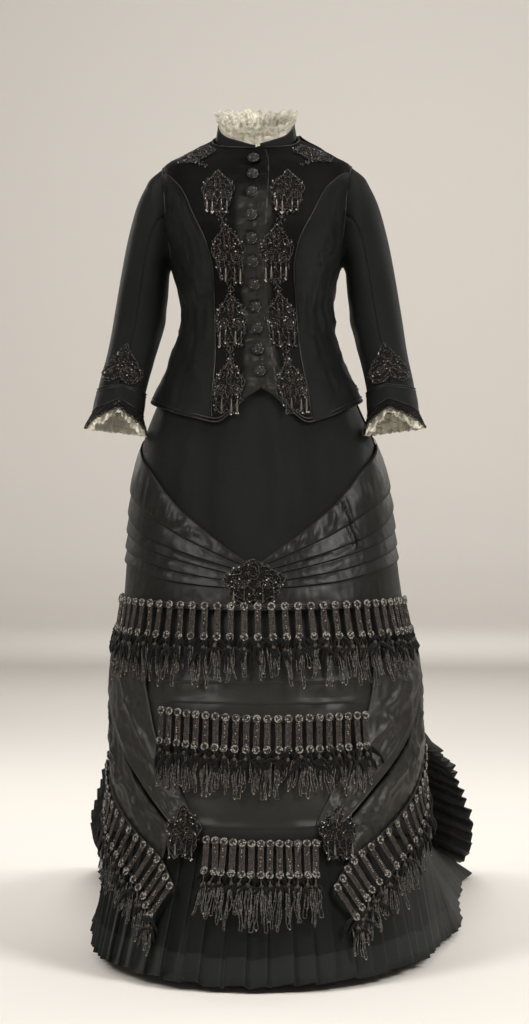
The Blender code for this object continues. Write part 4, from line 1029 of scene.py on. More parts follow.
def fringe(name, line, count, bar, tassel, side, lean, node, seed):
    """A fringe of bars under its line; lean is how far a bar's foot hangs aside, in degrees."""
    chance = np.random.default_rng(seed)
    heap = Heap()
    angle, z = line((np.arange(count) + BAR_SHARE / 2) / count)
    angle, hung = side * angle, side * (angle + lean)
    out = outward(SKIRT, angle, z)
    level = unit(np.cross((0, 0, 1.0), out))
    stand = PENDANT_LIFT - 0.0050 * ease((np.abs(angle) - 55) / 35)
    head = below(angle, z, HALF_HEADER, stand)
    foot = below(hung, z, HALF_HEADER + bar, stand) + level * chance.normal(0, 0.0010, (count, 1))
    down = unit(foot - head)
    wide = unit(np.cross(out, down))
    wide *= np.sign(np.sum(wide * level, axis=1))[:, None]
    pitch = np.linalg.norm(np.diff(head, axis=0), axis=1).mean()

    braid_angle, braid_z = line(np.linspace(0.0, 1.0, 3 * count))
    braid_lift = BRAID_LIFT - 0.0030 * ease((np.abs(braid_angle) - 55) / 35)
    braid_out = outward(SKIRT, side * braid_angle, braid_z)[None]
    for drop in BRAID_CORDS:
        path = below(side * braid_angle, braid_z, drop, braid_lift)
        cords(heap, BRAID, path[None], 0.0021, braid_out, 8, 0.006)
    for centres in (head, foot):
        medallion(heap, centres, out, wide, down, chance)
    bars(heap, head, foot, out, wide, chance)

    neck = foot + down * 0.004
    ball = below(hung, z, HALF_HEADER + bar + BALL_DROP, stand + 0.002)
    ball = ball + level * chance.normal(0, 0.0018, (count, 1))
    ball[:, 2] += chance.normal(0, 0.0022, count)
    stalk = neck[:, None] + (ball - neck)[:, None] * np.linspace(0, 1, 5)[None, :, None]
    cords(heap, BAR_CORD, stalk, 0.0012, out[:, None], 5, 0.004)
    beads(heap, ball, 0.0036, (0, 0, 1.0), out, BALL_SILK, BALL_PROFILE, 8, 1.1)
    tufts(heap, foot, ball, out, level, chance)
    ball_z = z - (HALF_HEADER + bar + BALL_DROP)
    locks(heap, hung, ball_z, stand, tassel - BALL_DROP, pitch, out, level, chance)
    heap.piece(name, [node])


for number, (name, count, bar, tassel, line) in enumerate(FRINGES):
    fringe(f"{name}_fringe_cords", line, count, bar, tassel, 1, 0.0, f"{name}_fringe", 61 + number)
slanting_share = np.linspace(0, 1, 5)
slanting_rows = DRAPE(1 - slanting_share)
slanting_line = Table(
    SLANTING_END, *zip(0.17 + 0.83 * slanting_share, slanting_rows[4], slanting_rows[5] - 0.0025)
)
for word, side in SIDES.items():
    fringe(
        f"slanting_fringe_{word}_cords", slanting_line, SLANTING_BARS, SLANTING_BAR, SLANTING_TASSEL,
        side, SLANTING_LEAN, f"slanting_fringe_{word}", 71 + side,
    )


# Bodice
#
# Side fronts, side backs and backs of lined, boned faille, cut to a general fitted figure with
# curved seams and darts. Their seams are pressed open, and the hem is corded twice.

BODICE = Table(  # height above the floor, half width, depth in front, depth behind, shift
    (0.840, 0.1880, 0.1460, 0.1740, 0), (0.905, 0.1640, 0.1300, 0.1560, 0),
    (0.930, 0.1515, 0.1220, 0.1410, 0), (0.956, 0.1400, 0.1140, 0.1260, 0),
    (0.990, 0.1285, 0.1040, 0.1110, 0), (1.010, 0.1245, 0.0985, 0.1040, 0),
    (1.036, 0.1215, 0.0950, 0.0990, 0), (1.070, 0.1270, 0.1030, 0.1000, 0),
    (1.105, 0.1350, 0.1140, 0.1030, 0), (1.135, 0.1430, 0.1210, 0.1060, 0),
    (1.165, 0.1500, 0.1235, 0.1085, 0), (1.200, 0.1560, 0.1130, 0.1095, 0),
    (1.240, 0.1580, 0.0960, 0.1060, 0), (1.269, 0.1520, 0.0820, 0.0980, 0),
    (1.285, 0.1260, 0.0700, 0.0880, 0), (1.300, 0.0980, 0.0600, 0.0790, 0),
    (1.318, 0.0660, 0.0520, 0.0680, 0), (1.335, 0.0600, 0.0480, 0.0620, 0),
)
VEST_EDGE = Table(  # corded seam between the vest and the side front: height, angle
    (0.840, 25), (0.900, 27), (0.956, 29), (1.036, 32), (1.105, 28.5), (1.135, 30),
    (1.187, 38), (1.225, 46), (1.250, 60), (1.258, 74.7), (1.269, 90), (1.340, 90),
)
BACK_SEAM = Table(  # curved seam from the armhole to the hem: height, angle
    (0.840, 150), (0.930, 154), (1.036, 160), (1.070, 155), (1.115, 142), (1.135, 136),
    (1.187, 117.5), (1.340, 117.5),
)
FRONT_HEM = Table(  # angle, height
    (0, 0.907), (7, 0.894), (14, 0.874), (23, 0.853), (34, 0.860), (60, 0.878), (90, 0.892),
)
BACK_HEM = Table((90, 0.910), (120, 0.900), (150, 0.880), (180, 0.868))
NECKLINE = Table((0, 1.294), (30, 1.298), (60, 1.310), (90, 1.318), (135, 1.326), (180, 1.329))
ARMHOLE_HEIGHT, ARMHOLE_RISE = 1.187, 0.082
ARMHOLE_FRONT, ARMHOLE_BACK = 0.043, 0.049
ARMPIT, SHOULDER_POINT = 1.105, 1.269
DARTS = (49, 66)  # angles of the two bust darts, from the hem to under the bust
TWIST = Table((0.850, 6.0), (0.930, 5.0), (1.030, 2.2), (1.110, 0.4), (1.150, 0.0), (1.340, 0.0))


def on_bodice(angle, z, lift=0.0):
    """A place on the bodice; its closing drifts to the right below the waist, as it is worn."""
    angle = angle + TWIST(z) * ease((80 - np.abs(angle)) / 60)
    return on_form(BODICE, angle, z, lift)


def armhole_edge(z, side):
    """The angle at which a panel stops at the armhole; side is -1 in front, 1 behind."""
    share = np.sqrt(np.maximum(0.0, 1 - ((z - ARMHOLE_HEIGHT) / ARMHOLE_RISE) ** 2))
    front, back = BODICE(z)[1:3]
    if side < 0:
        edge = 90 - np.degrees(np.arcsin(ARMHOLE_FRONT * share / front))
    else:
        edge = 90 + np.degrees(np.arcsin(ARMHOLE_BACK * share / back))
    return np.where((z > ARMPIT) & (z < SHOULDER_POINT), edge, 90.0)


def vest_outer_edge(z):
    return np.minimum(VEST_EDGE(z), 90.0)


def back_outer_edge(z):
    return np.where(z <= ARMHOLE_HEIGHT, BACK_SEAM(z), armhole_edge(z, 1))


def panel_places(inner, outer, hem, top, rows=84, columns=30):
    """Angles and heights of a panel's grid between two seams, its hem and its upper edge."""
    up = np.linspace(0, 1, rows)[:, None]
    across = np.linspace(0, 1, columns)[None, :]
    z = mix(0.88, 1.30, up) + 0 * across
    for _ in range(4):
        gap = np.degrees(HALF_SEAM / BODICE(z)[0])
        angle = mix(inner(z) + gap, outer(z) - gap, across)
        z = mix(hem(angle), top(angle), up)
    return angle, z


def bodice_relief(angle, z, side):
    """Darts, and the slight strain of a boned bodice that buttons tightly."""
    flat = on_bodice(side * angle, z)
    lift = 0.0021 * crumple(flat, 0.080, 51) + 0.0005 * crumple(flat, 0.028, 52, (1, 1, 2))
    lift = lift + 0.0027 * sharp_creases(flat, 0.060, 53, (1, 1, 1.6))
    for dart in DARTS:
        lean = dart - 6 * ease((z - 1.02) / 0.12)
        depth = 0.0013 * ease((1.115 - z) / 0.02)
        lift = lift - depth * bell(angle - lean)
    return lift + 0.0014 * ease((1.06 - z) / 0.03) * ease((z - 0.99) / 0.03) * np.sin(angle * 0.55)


PANELS = (  # name, inner seam, outer seam, hem, top
    ("side_front", vest_outer_edge, lambda z: armhole_edge(z, -1), FRONT_HEM, lambda a: 1.2572 + 0 * a),
    ("side_back", lambda z: armhole_edge(z, 1), BACK_SEAM, BACK_HEM, lambda a: 1.1855 + 0 * a),
    ("back", back_outer_edge, lambda z: 180.0 + 0 * z, BACK_HEM, NECKLINE),
)
for name, inner, outer, hem, top in PANELS:
    for word, side in SIDES.items():
        angle, z = panel_places(inner, outer, hem, top)
        points = on_bodice(side * angle, z, bodice_relief(angle, z, side))
        carrier = f"vest_{word}_satin" if name == "side_front" else f"side_front_{word}_silk"
        sheet_of_cloth(
            f"{name}_{word}", "silk", points, FAILLE, flip=side < 0
        )


# Vest
#
# The front between the corded seams is black satin. Its left front laps over the right one and
# buttons down its edge, so the satin is drawn into short creases at every button.

VEST_SATIN = satin_silk(
    "vest_satin_creased", (0.0060, 0.0058, 0.0050), (0.0230, 0.0215, 0.0185),
    unmarked_colour=(0.0044, 0.0044, 0.0041), shine=0.16, hush=0.7,
)
BUTTON_HEIGHTS = np.array(
    (1.2730, 1.2470, 1.2170, 1.1795, 1.1440, 1.1080, 1.0730, 1.0370, 1.0020, 0.9680, 0.9330)
)
CLOSING = 9.0  # the lapped edge stands this many degrees to the right of the middle
UNDERLAP = 3.0  # the right front runs this far under it
LAP_LIFT = 0.0017
VEST_CLOTH = 0.0012
PULL_REACH = 0.016  # how far from a button its pull is felt


def vest_relief(angle, z):
    """Creases that run from each button to the lapped edge, and the loose satin beside them."""
    flat = on_bodice(angle, z)
    near = bell(angle / 11.0)
    button = np.min(np.abs(z[..., None] - BUTTON_HEIGHTS), axis=-1)
    pull = np.cos(np.clip(button / PULL_REACH, 0, 1) * math.pi)
    creases = crumple(flat, 0.021, 81, (2.6, 1, 1)) + 0.6 * crumple(flat, 0.012, 82, (2.0, 1, 1))
    return near * (0.0034 * creases - 0.0012 * pull) + 0.0005 * crumple(flat, 0.05, 83)


for word, side in SIDES.items():
    start = -CLOSING if side < 0 else UNDERLAP
    angle, z = panel_places(
        lambda z: start + 0 * z, vest_outer_edge, lambda a: FRONT_HEM(np.abs(a)),
        lambda a: NECKLINE(np.abs(a)), 130, 46,
    )
    lift = vest_relief(side * angle, z)
    if side < 0:
        lift = lift + LAP_LIFT * ease((-1.5 - angle) / 1.5)
    else:
        lift = lift * ease((angle - CLOSING) / 3.0)
    # Marked: the creased middle strip below the collar; the rest of the vest takes the darker, unshining
    # colour.
    sheet_mark = ease((12.5 - np.abs(side * angle - 1.5)) / 5) * ease((1.245 - z) / 0.05)
    sheet_of_cloth(
        f"vest_{word}", "satin", on_bodice(side * angle, z, lift), VEST_SATIN,
        VEST_CLOTH, mark=sheet_mark, flip=side < 0,
    )


# Corded piping
#
# Bias strips of satin over cord finish the bodice: twice round its hem, along the seams of the
# vest, round the armholes and under the collar. They are sewn into the seams.

HEM_CORDS = (0.0005, 0.0058)  # how far above the hem they lie


def armhole_point(side, turn, inset=0.0):
    """A point of the armhole, drawn in by inset; turn is 0 at the shoulder and 90 in front."""
    turn = np.radians(turn)
    z = ARMHOLE_HEIGHT + (ARMHOLE_RISE - inset) * np.cos(turn)
    across = np.sin(turn)
    y = -across * (np.where(across > 0, ARMHOLE_FRONT, ARMHOLE_BACK) - inset)
    half_width, front, back = BODICE(z)[:3]
    depth = np.where(y < 0, front, back)
    return np.stack([side * half_width * np.sqrt(1 - (y / depth) ** 2), y, z - SHOULDER_LINE], axis=-1)


piping = Heap()


def pipe(path, radius=0.0013):
    outside = unit(path * (1, 1, 0) + (0, -0.001, 0.001))
    cords(piping, SATIN, path[None], radius, outside[None])


hem_angle = np.linspace(0, 90, 90)
lapped_angle = np.concatenate([-hem_angle[:9][::-1], hem_angle])
back_angle = 90 + hem_angle
for rise in HEM_CORDS:
    for side in SIDES.values():
        angle = hem_angle if side > 0 else lapped_angle
        pipe(on_bodice(side * angle, FRONT_HEM(np.abs(angle)) + rise, 0.0016))
        pipe(on_bodice(side * back_angle, BACK_HEM(back_angle) + rise, 0.0016))
for side in SIDES.values():
    seam_z = np.linspace(0.862, 1.256, 120)
    pipe(on_bodice(side * vest_outer_edge(seam_z), seam_z, 0.0013), 0.0012)
    turn = np.linspace(0, 360, 90)
    path = armhole_point(side, turn)
    away = unit(path - armhole_point(side, turn, 0.03))
    pipe(path + away * 0.0005 + (side * 0.0008, 0, 0), 0.0014)
lap_z = np.linspace(0.906, 1.290, 120)
pipe(on_bodice(CLOSING, lap_z, vest_relief(CLOSING + 0 * lap_z, lap_z) + LAP_LIFT), 0.0010)
neck_angle = np.linspace(-178, 178, 120)
pipe(on_bodice(neck_angle, NECKLINE(np.abs(neck_angle)) - 0.0012, 0.0008), 0.0012)
piping.piece("bodice_piping", [])


# Sleeves
#
# Two-piece sleeves of faille, cut to a slightly bent arm and set into the armholes without
# fullness. They end in a pointed cuff with two cords along its top and one along its edge.

SLEEVE = Table(  # ring below the armhole: outer x z, inner x z, middle y, half depth
    (1, 0.1760, 1.2480, 0.1404, 1.1072, 0.0030, 0.0490), (2, 0.1945, 1.2100, 0.1440, 1.0985, 0.0040, 0.0510),
    (3, 0.2090, 1.1600, 0.1455, 1.0810, 0.0060, 0.0500), (4, 0.2230, 1.0900, 0.1480, 1.0450, 0.0100, 0.0470),
    (5, 0.2350, 1.0220, 0.1540, 1.0060, 0.0080, 0.0450), (6, 0.2440, 0.9640, 0.1690, 0.9560, -0.0060, 0.0420),
    (7, 0.2510, 0.9280, 0.1765, 0.9180, -0.021, 0.0400), (8, 0.2560, 0.8990, 0.1805, 0.8920, -0.033, 0.0400),
    (9, 0.2605, 0.8720, 0.1820, 0.8640, -0.045, 0.0405), (10, 0.264, 0.8450, 0.1820, 0.8350, -0.056, 0.0420),
)
SLEEVE_END, CUFF_TOP, CUFF_END = 8.0, 7.6, 9.0
CUFF_CORDS = (7.62, 7.80, 8.97)
ELBOW = 4.9


def sleeve_point(side, down, turn, grow=0.0):
    """A point of the sleeve at a ring's place; grow widens the ring."""
    outer_x, outer_z, inner_x, inner_z, middle_y, half_depth = SLEEVE(down)
    turn = np.radians(turn)
    outer = np.stack([side * outer_x, middle_y, outer_z - SHOULDER_LINE], axis=-1)
    inner = np.stack([side * inner_x, middle_y, inner_z - SHOULDER_LINE], axis=-1)
    spoke = (outer - inner) / 2
    length = np.linalg.norm(spoke, axis=-1)
    spoke = spoke * ((length + grow) / length * np.cos(turn))[..., None]
    point = (outer + inner) / 2 + spoke
    point[..., 1] -= (half_depth + grow) * np.sin(turn)
    return point


CUFF_POINT = Table((7.0, 0.0), (8.0, 0.60), (9.0, 0.92), (9.6, 1.16), (10.4, 1.60))


def cuff_rise(turn, down):
    """How far the cuff's edges rise to a point on the front of the arm, in rings."""
    front = np.maximum(0.0, 1 - np.abs(np.mod(turn, 360) - 96) / 84)
    return -CUFF_POINT(down) * front ** 1.1


def cuff_place(side, down, turn, grow):
    return sleeve_point(side, down + cuff_rise(turn, down), turn, grow)


def sleeve_grid(side, turns):
    down = np.linspace(0, SLEEVE_END, 72)[:, None]
    turn = turns[None, :]
    risen = np.maximum(down, 1) + cuff_rise(turn, SLEEVE_END) * (down / SLEEVE_END) ** 6
    below_cap = sleeve_point(side, risen, turn)
    start = armhole_point(side, turn, 0.0012) + 0 * below_cap
    first, second = (sleeve_point(side, ring + 0 * down, turn) for ring in (1, 2))
    share = np.minimum(down, 1)[..., None]
    cap = hermite(start, (first - start) * 1.25, first, (second - start) / 2, share)
    points = np.where(share < 1, cap, below_cap)
    middle = points.mean(axis=1, keepdims=True)
    away = unit(points - middle)
    free = ease(down / 1.2) * ease((SLEEVE_END - down) / 0.8)
    elbow = bell((down - ELBOW) / 1.1) * (0.5 - 0.5 * np.cos(np.radians(turn)))
    mirrored = points * (side, 1, 1)
    creases = 0.0011 * crumple(mirrored, 0.07, 91, (1, 1, 2.5))
    creases = creases + 0.0022 * elbow * crumple(mirrored, 0.030, 92, (2, 2, 1))
    return points + away * (creases * free)[..., None]


NUDGE = 0.4  # degrees that keep the two sleeve seams open by their space
for word, side in SIDES.items():
    for part, first, last in (("over", -90, 90), ("under", 90, 270)):
        points = sleeve_grid(side, np.linspace(first + NUDGE, last - NUDGE, 32))
        sheet_of_cloth(
            f"sleeve_{part}_{word}", "silk", points[::-1], FAILLE,
            flip=side > 0,
        )

CUFF_TURN = np.arange(0, 360, 5.0)
CUFF_CLOTH = 0.0012
for word, side in SIDES.items():
    down = np.linspace(CUFF_END, CUFF_TOP, 16)[:, None]
    swell = 0.0012 + 0.0010 * np.sin(math.pi * (down - CUFF_TOP) / (CUFF_END - CUFF_TOP))
    points = cuff_place(side, down, CUFF_TURN[None, :], swell)
    sheet_of_cloth(
        f"cuff_band_{word}", "satin", points, FAILLE,
        CUFF_CLOTH, ring=True, flip=side > 0,
    )
    cuff_cords = Heap()
    for place in CUFF_CORDS:
        path = cuff_place(side, place, CUFF_TURN, 0.0022)
        path = np.concatenate([path, path[:1]])
        cords(cuff_cords, SATIN, path[None], 0.0011, unit(path - path.mean(axis=0))[None])
    cuff_cords.piece(f"cuff_piping_{word}", [])


# Cuff lace
#
# Each cuff ends in a scalloped edging of black silk lace with a row of cord loops, over a deeper
# ruffle of cream lace that is gathered inside the cuff.

def bobbin_lace(name, thread, shadow, mesh, cover, edge):
    """A fine net of threads with closed leaves in it; the holes are cut by its transparency."""
    finish = Finish(name, specular_ior_level=0.15)
    _, down, _ = finish.weave()
    place = finish.place()
    net = finish.node(
        "ShaderNodeTexVoronoi", {"feature": "DISTANCE_TO_EDGE"},
        {"Vector": place, "Scale": 1 / mesh, "Randomness": 0.35},
    )
    cloud = {"Vector": place, "Scale": 1 / (4.5 * mesh), "Detail": 1.0}
    closed = finish.node("ShaderNodeTexNoise", None, cloud).between(cover, cover + 0.05)
    border = 1 - down.between(edge, edge * 1.25)
    thread_here = 1 - net.between(0.10, 0.20)
    finish.set(base_color=finish.blend(closed * 0.5 + finish.speckle(0.004) * 0.5, shadow, thread))
    finish.set(alpha=thread_here.most(closed).most(border), roughness=0.8)
    finish.relief(thread_here + closed * 1.4, 0.0004)
    return finish


CREAM_LACE = bobbin_lace(
    "cream_bobbin_lace", (0.93, 0.89, 0.76), (0.84, 0.78, 0.62), 0.0019, 0.40, 0.0016
)
BLACK_LACE = bobbin_lace(
    "black_bobbin_lace", (0.0050, 0.0046, 0.0042), (0.0022, 0.0021, 0.0020), 0.0022, 0.44, 0.0014
)
LACE_CLOTH = 0.0006
SCALLOPS = 20
BLACK_LACE_TOP, BLACK_LACE_END = 8.97, 9.72  # places down the sleeve
CREAM_LACE_TOP, CREAM_LACE_END = 8.86, 10.36
CREAM_SCALLOPS = 46


def scalloped(turn, count):
    """0 between two scallops and 1 at the middle of each."""
    return np.abs(np.sin(np.radians(turn) * count / 2)) ** 0.7


def ruffle(turn, waves, seed):
    """Uneven gathers, from -1 to 1."""
    chance = np.random.default_rng(seed)
    total = np.sin(np.radians(turn) * waves + chance.uniform(0, 6))
    for extra in (0.37, 1.61, 2.3):
        total = total + 0.38 * np.sin(np.radians(turn) * round(waves * extra) + chance.uniform(0, 6))
    return total / 1.5


def tumble(points, size, seed):
    """Crumpling that moves points every way."""
    return np.stack([crumple(points, size, seed + k) for k in range(3)], axis=-1)


lace_turn = np.arange(0, 360, 1.5)[None, :]
loop_step = np.linspace(0, 1, 9)[None, :]
loop_bend = np.sin(math.pi * loop_step)
loop_start = 360 * np.arange(2 * SCALLOPS)[:, None] / (2 * SCALLOPS)
loop_turn = loop_start + 9.5 * (loop_step - 0.5)
loop_down = BLACK_LACE_END + 0.13 * scalloped(loop_turn, SCALLOPS) + 0.20 * loop_bend
for word, side in SIDES.items():
    share = np.linspace(1, 0, 12)[:, None]
    down = mix(BLACK_LACE_TOP, BLACK_LACE_END + 0.15 * scalloped(lace_turn, SCALLOPS), share)
    grow = 0.0014 + 0.0071 * share + 0.0012 * share * ruffle(lace_turn, 9, 101)
    sheet_of_cloth(
        f"black_lace_{word}", "net", cuff_place(side, down, lace_turn, grow), BLACK_LACE,
        LACE_CLOTH, ring=True, flip=side > 0,
    )
    loops = Heap()
    path = cuff_place(side, loop_down, loop_turn, 0.0088 + 0.0012 * loop_bend)
    cords(loops, BAR_CORD, path, 0.0009, unit(path - path.mean(axis=(0, 1))), 5, 0.002)
    loops.piece(f"black_lace_{word}_loops", [])

    share = np.linspace(1, 0, 16)[:, None]
    down = mix(CREAM_LACE_TOP, CREAM_LACE_END + 0.14 * scalloped(lace_turn, CREAM_SCALLOPS), share)
    swing = 0.0068 * ruffle(lace_turn, 15, 103 + side) * share ** 0.8
    points = cuff_place(side, down, lace_turn, mix(-0.0018, 0.0024, share) + swing)
    points = points + tumble(points, 0.012, 105) * (0.0018 * share)[..., None]
    sheet_of_cloth(
        f"cream_ruffle_{word}", "lace", points, CREAM_LACE,
        LACE_CLOTH, ring=True, flip=side > 0,
    )


# Collar and neck ruffle
#
# A low stand collar of faille closes at the front. A double ruffle of gathered cream lace is
# basted inside it and spreads over its edge, higher behind and at the sides than in front.

COLLAR_HEIGHT = Table((0, 0.003), (12, 0.008), (28, 0.014), (48, 0.0225), (60, 0.0220), (180, 0.022))
RUFFLE_HEIGHT = Table((0, 0.030), (20, 0.033), (45, 0.041), (90, 0.042), (180, 0.043))
COLLAR_LEAN = 0.16
RUFFLE_INSET = 0.0074
NECK_SCALLOPS = 66
LACE_LAYERS = (  # share of the height, flare, waves
    (1.0, 0.0150, 19), (0.78, 0.0210, 23),
)


def neck_point(angle, rise, inset):
    """A point above the neckline, drawn in towards the neck's axis."""
    base = on_section(BODICE, angle, NECKLINE(np.abs(angle)))
    inward = -base * (1, 1, 0) + (0, 0.004, 0)
    point = base + unit(inward) * np.asarray(inset + COLLAR_LEAN * rise)[..., None]
    point[..., 2] += rise
    return point


collar_angle = np.linspace(5, 361, 110)[None, :]
collar_angle = np.where(collar_angle > 180, collar_angle - 360, collar_angle)
up = np.linspace(0, 1, 9)[:, None]
collar_rise = mix(0.0006, COLLAR_HEIGHT(np.abs(collar_angle)), up)
collar_points = neck_point(collar_angle, collar_rise, 2 * WALL)
sheet_of_cloth("collar", "silk", collar_points, FAILLE)
collar_cord = Heap()
cords(collar_cord, SATIN, collar_points[-1:], 0.0012, unit(collar_points[-1:] * (1, 1, 0)))
collar_cord.piece("collar_piping", [])

neck_turn = np.arange(-180, 180, 1.0)[None, :]
up = np.linspace(0, 1, 18)[:, None]
neck_aside = np.abs(neck_turn)
height = COLLAR_HEIGHT(neck_aside)
front_flare = mix(0.75, 1.0, ease((35 - neck_aside) / 30))
layers = Heap()
lace_area = 0
for layer, (reach, flare, waves) in enumerate(LACE_LAYERS):
    uneven = 0.0030 * ruffle(neck_turn, 11, 111 + layer)
    uneven = uneven + 0.0012 * ruffle(neck_turn, 41, 115 + layer)
    rise = mix(0.25 * height, RUFFLE_HEIGHT(neck_aside) * reach + uneven, up)
    rise = rise - 0.0014 * (1 - scalloped(neck_turn, NECK_SCALLOPS)) * up ** 4
    swing = 0.0052 * ruffle(neck_turn, waves, 113 + layer) * up ** 0.9
    free = np.maximum(rise - height, 0) / 0.022
    inset = RUFFLE_INSET - flare * free ** 1.7 * front_flare + swing + 0.001 * layer
    points = neck_point(neck_turn, rise, inset)
    points = points + tumble(points, 0.011, 117 + 3 * layer) * (0.0020 * up ** 0.7)[..., None]
    layers.grid(points, CREAM_LACE, True)
    lace_area += grid_area(points, True)
    if layer == 0:
        lace_depth = spans(points, 0).sum(axis=0).mean()
neck_ruffle = layers.piece("neck_ruffle_lace", ["neck_ruffle"])


# Buttons
#
# Eleven domed buttons, crocheted in black silk over wooden moulds with a ring of small cut
# beads. They stay fastened down the lapped edge of the vest.

CROCHET = twisted_cord("crocheted_silk", (0.0022, 0.0020, 0.0018), (0.024, 0.0215, 0.019), 0.0016, 0.35)
# The button beads' pale colour is a painted glint on a share of them.
BUTTON_BEADS = jet_beads("button_beads", (0.012, 0.011, 0.010), (0.30, 0.28, 0.25), 0.25)
BUTTON_RADIUS = 0.0092
BUTTON_DOME = 0.0052
BUTTON_ROUNDS = ((9, 0.60, 0.0009), (1, 0.0, 0.0014), (14, 0.93, 0.0007))  # beads, share out, size
button_turn = np.radians(np.arange(0, 360, 9.0))[None, :]
button_fall = np.linspace(0.04, 1.0, 15)[:, None] * math.pi / 2
crochet = 0.06 * np.cos(8 * button_turn + 5 * button_fall) * np.sin(button_fall)
ridge = 1 + crochet + 0.04 * np.cos(14 * button_fall)
radius = BUTTON_RADIUS * np.sin(button_fall) * ridge
height = BUTTON_DOME * np.cos(button_fall) * ridge + 0.0004
aside, upwards = radius * np.cos(button_turn), radius * np.sin(button_turn)
along = np.array((1.0, 0, 0))
for number, z in enumerate(BUTTON_HEIGHTS, 1):
    out = outward(BODICE, 0, z)
    up_face = np.cross(out, along)
    foot = on_bodice(0, z, LAP_LIFT + 0.0012)
    points = foot + along * aside[..., None] + up_face * upwards[..., None] + out * height[..., None]
    button = Heap()
    button.grid(points, CROCHET, True)
    back = points[-1:].copy()
    button.grid(np.concatenate([back, foot + (back - foot) * 0.2 - out * 0.0008]), CROCHET, True)
    for count, ring, size in BUTTON_ROUNDS:
        bead_turn = 2 * math.pi * (np.arange(count) + 0.1 * number) / count
        lift = BUTTON_DOME * math.sqrt(1 - ring ** 2) + 0.0008
        spoke = along * np.cos(bead_turn)[:, None] + up_face * np.sin(bead_turn)[:, None]
        spots = foot + spoke * ring * BUTTON_RADIUS + out * lift
        beads(button, spots, size, np.cross(spoke, out), out, BUTTON_BEADS)
    button.piece(f"button_{number:02d}_crochet", [f"button_{number:02d}"])


# Beadwork
#
# Motifs of cut jet beads, worked on net in scrolls and leaves and hung with long bugle drops.
# They are sewn down the vest in two columns, and on the shoulders, sleeves, swags and drapes.

# The pale colours of these bead finishes are painted glints on a share of the beads, the drops' and tips'
# included.
JET = jet_beads("cut_jet", (0.0040, 0.0032, 0.0027), (0.60, 0.57, 0.53), 0.05)
BROWN_JET = jet_beads("brown_jet", (0.0120, 0.0062, 0.0036), (0.34, 0.24, 0.18), 0.03)
DROP_JET = jet_beads("jet_drops", (0.0060, 0.0048, 0.0040), (0.10, 0.08, 0.065), 0.3, coat_weight=1.0)
TIP_JET = jet_beads("jet_tips", (0.0200, 0.0170, 0.0150), (0.50, 0.48, 0.45), 0.25)
NET = chenille_silk()
DROP_PROFILE = ((-1.0, 0.20), (-0.8, 0.42), (-0.2, 0.70), (0.45, 1.0), (0.8, 0.85), (1.0, 0.25))

MOTIFS = (  # name, form, angle, height, half width, half height, drops on each side, lift
    ("shoulder", BODICE, 46, 1.283, 0.024, 0.014, 0, 0.0010),
    ("breast", BODICE, 20.5, 1.2165, 0.0255, 0.0350, 2, 0.0012),
    ("bust", BODICE, 15.5, 1.1180, 0.0255, 0.0440, 2, 0.0012),
    ("waist", BODICE, 18.5, 1.0130, 0.0250, 0.0430, 2, 0.0012),
    ("basque", BODICE, 18.0, 0.9060, 0.0240, 0.0430, 2, 0.0012),
    ("tablier", SKIRT, 27, 0.218, 0.0270, 0.0420, 2, 0.0098),
)
VINES = (  # angle and height of each vine's start and end
    (30, 1.262, 40, 1.276), (19, 1.186, 16, 1.158), (16, 1.078, 18, 1.052), (19, 0.973, 18, 0.946),
)
BEAD_PITCH = 0.0021
SCATTER = 1.6e5  # loose beads in a motif, for each square metre of its half width by its half height
DROP_START = 0.12  # where a motif's drops are hung, as a share of its half height below its middle
DROP_STRING = 0.0024
DROP_RADIUS = 0.0019
DROP_TIP = np.array([(-0.0015, -0.001), (0.0015, -0.001), (0, -0.0028)])


def lobes(turn):
    """The lobed rim of a motif, as a share of its size."""
    return 1 + 0.10 * np.cos(5 * turn) + 0.07 * np.cos(9 * turn + 0.4)


def motif_lines():
    """Lines of beadwork in a motif, as shares across and up: a lobed rim, leaves and scrolls."""
    turn = np.linspace(0, 2 * math.pi, 70)
    lines = [(0.92 * lobes(turn) * np.sin(turn), 0.92 * lobes(turn) * np.cos(turn))]
    for leaf in (0.62, 0.36):
        bulge = np.abs(np.sin(turn)) ** 0.7 * np.sign(np.sin(turn))
        lines.append((0.30 * leaf * bulge, 0.52 + 0.60 * leaf * np.cos(turn)))
    curl = np.linspace(0, 1, 34)
    for hand in (-1, 1):
        for ring in (0.30, 0.17, 0.06):
            lines.append((hand * 0.46 + ring * np.sin(turn), -0.06 + 0.62 * ring * np.cos(turn)))
        spiral = 0.34 * (1 - 0.85 * curl)
        around = 5.4 * curl * hand + math.pi / 2 * hand
        lines.append((hand * 0.56 + spiral * np.sin(around), 0.52 + 0.62 * spiral * np.cos(around)))
        lines.append((hand * (0.08 + 0.80 * np.sin(math.pi * curl) ** 0.8), 0.98 - 1.9 * curl))
        lines.append((hand * (0.10 + 0.12 * np.sin(3 * math.pi * curl)), 0.10 - 0.98 * curl))
    return lines


def strung(line, pitch):
    """Points at an even pitch along a line."""
    x, y = line
    run = np.concatenate([[0], np.cumsum(np.hypot(np.diff(x), np.diff(y)))])
    at = np.arange(0, run[-1], pitch)
    return np.interp(at, run, x), np.interp(at, run, y)


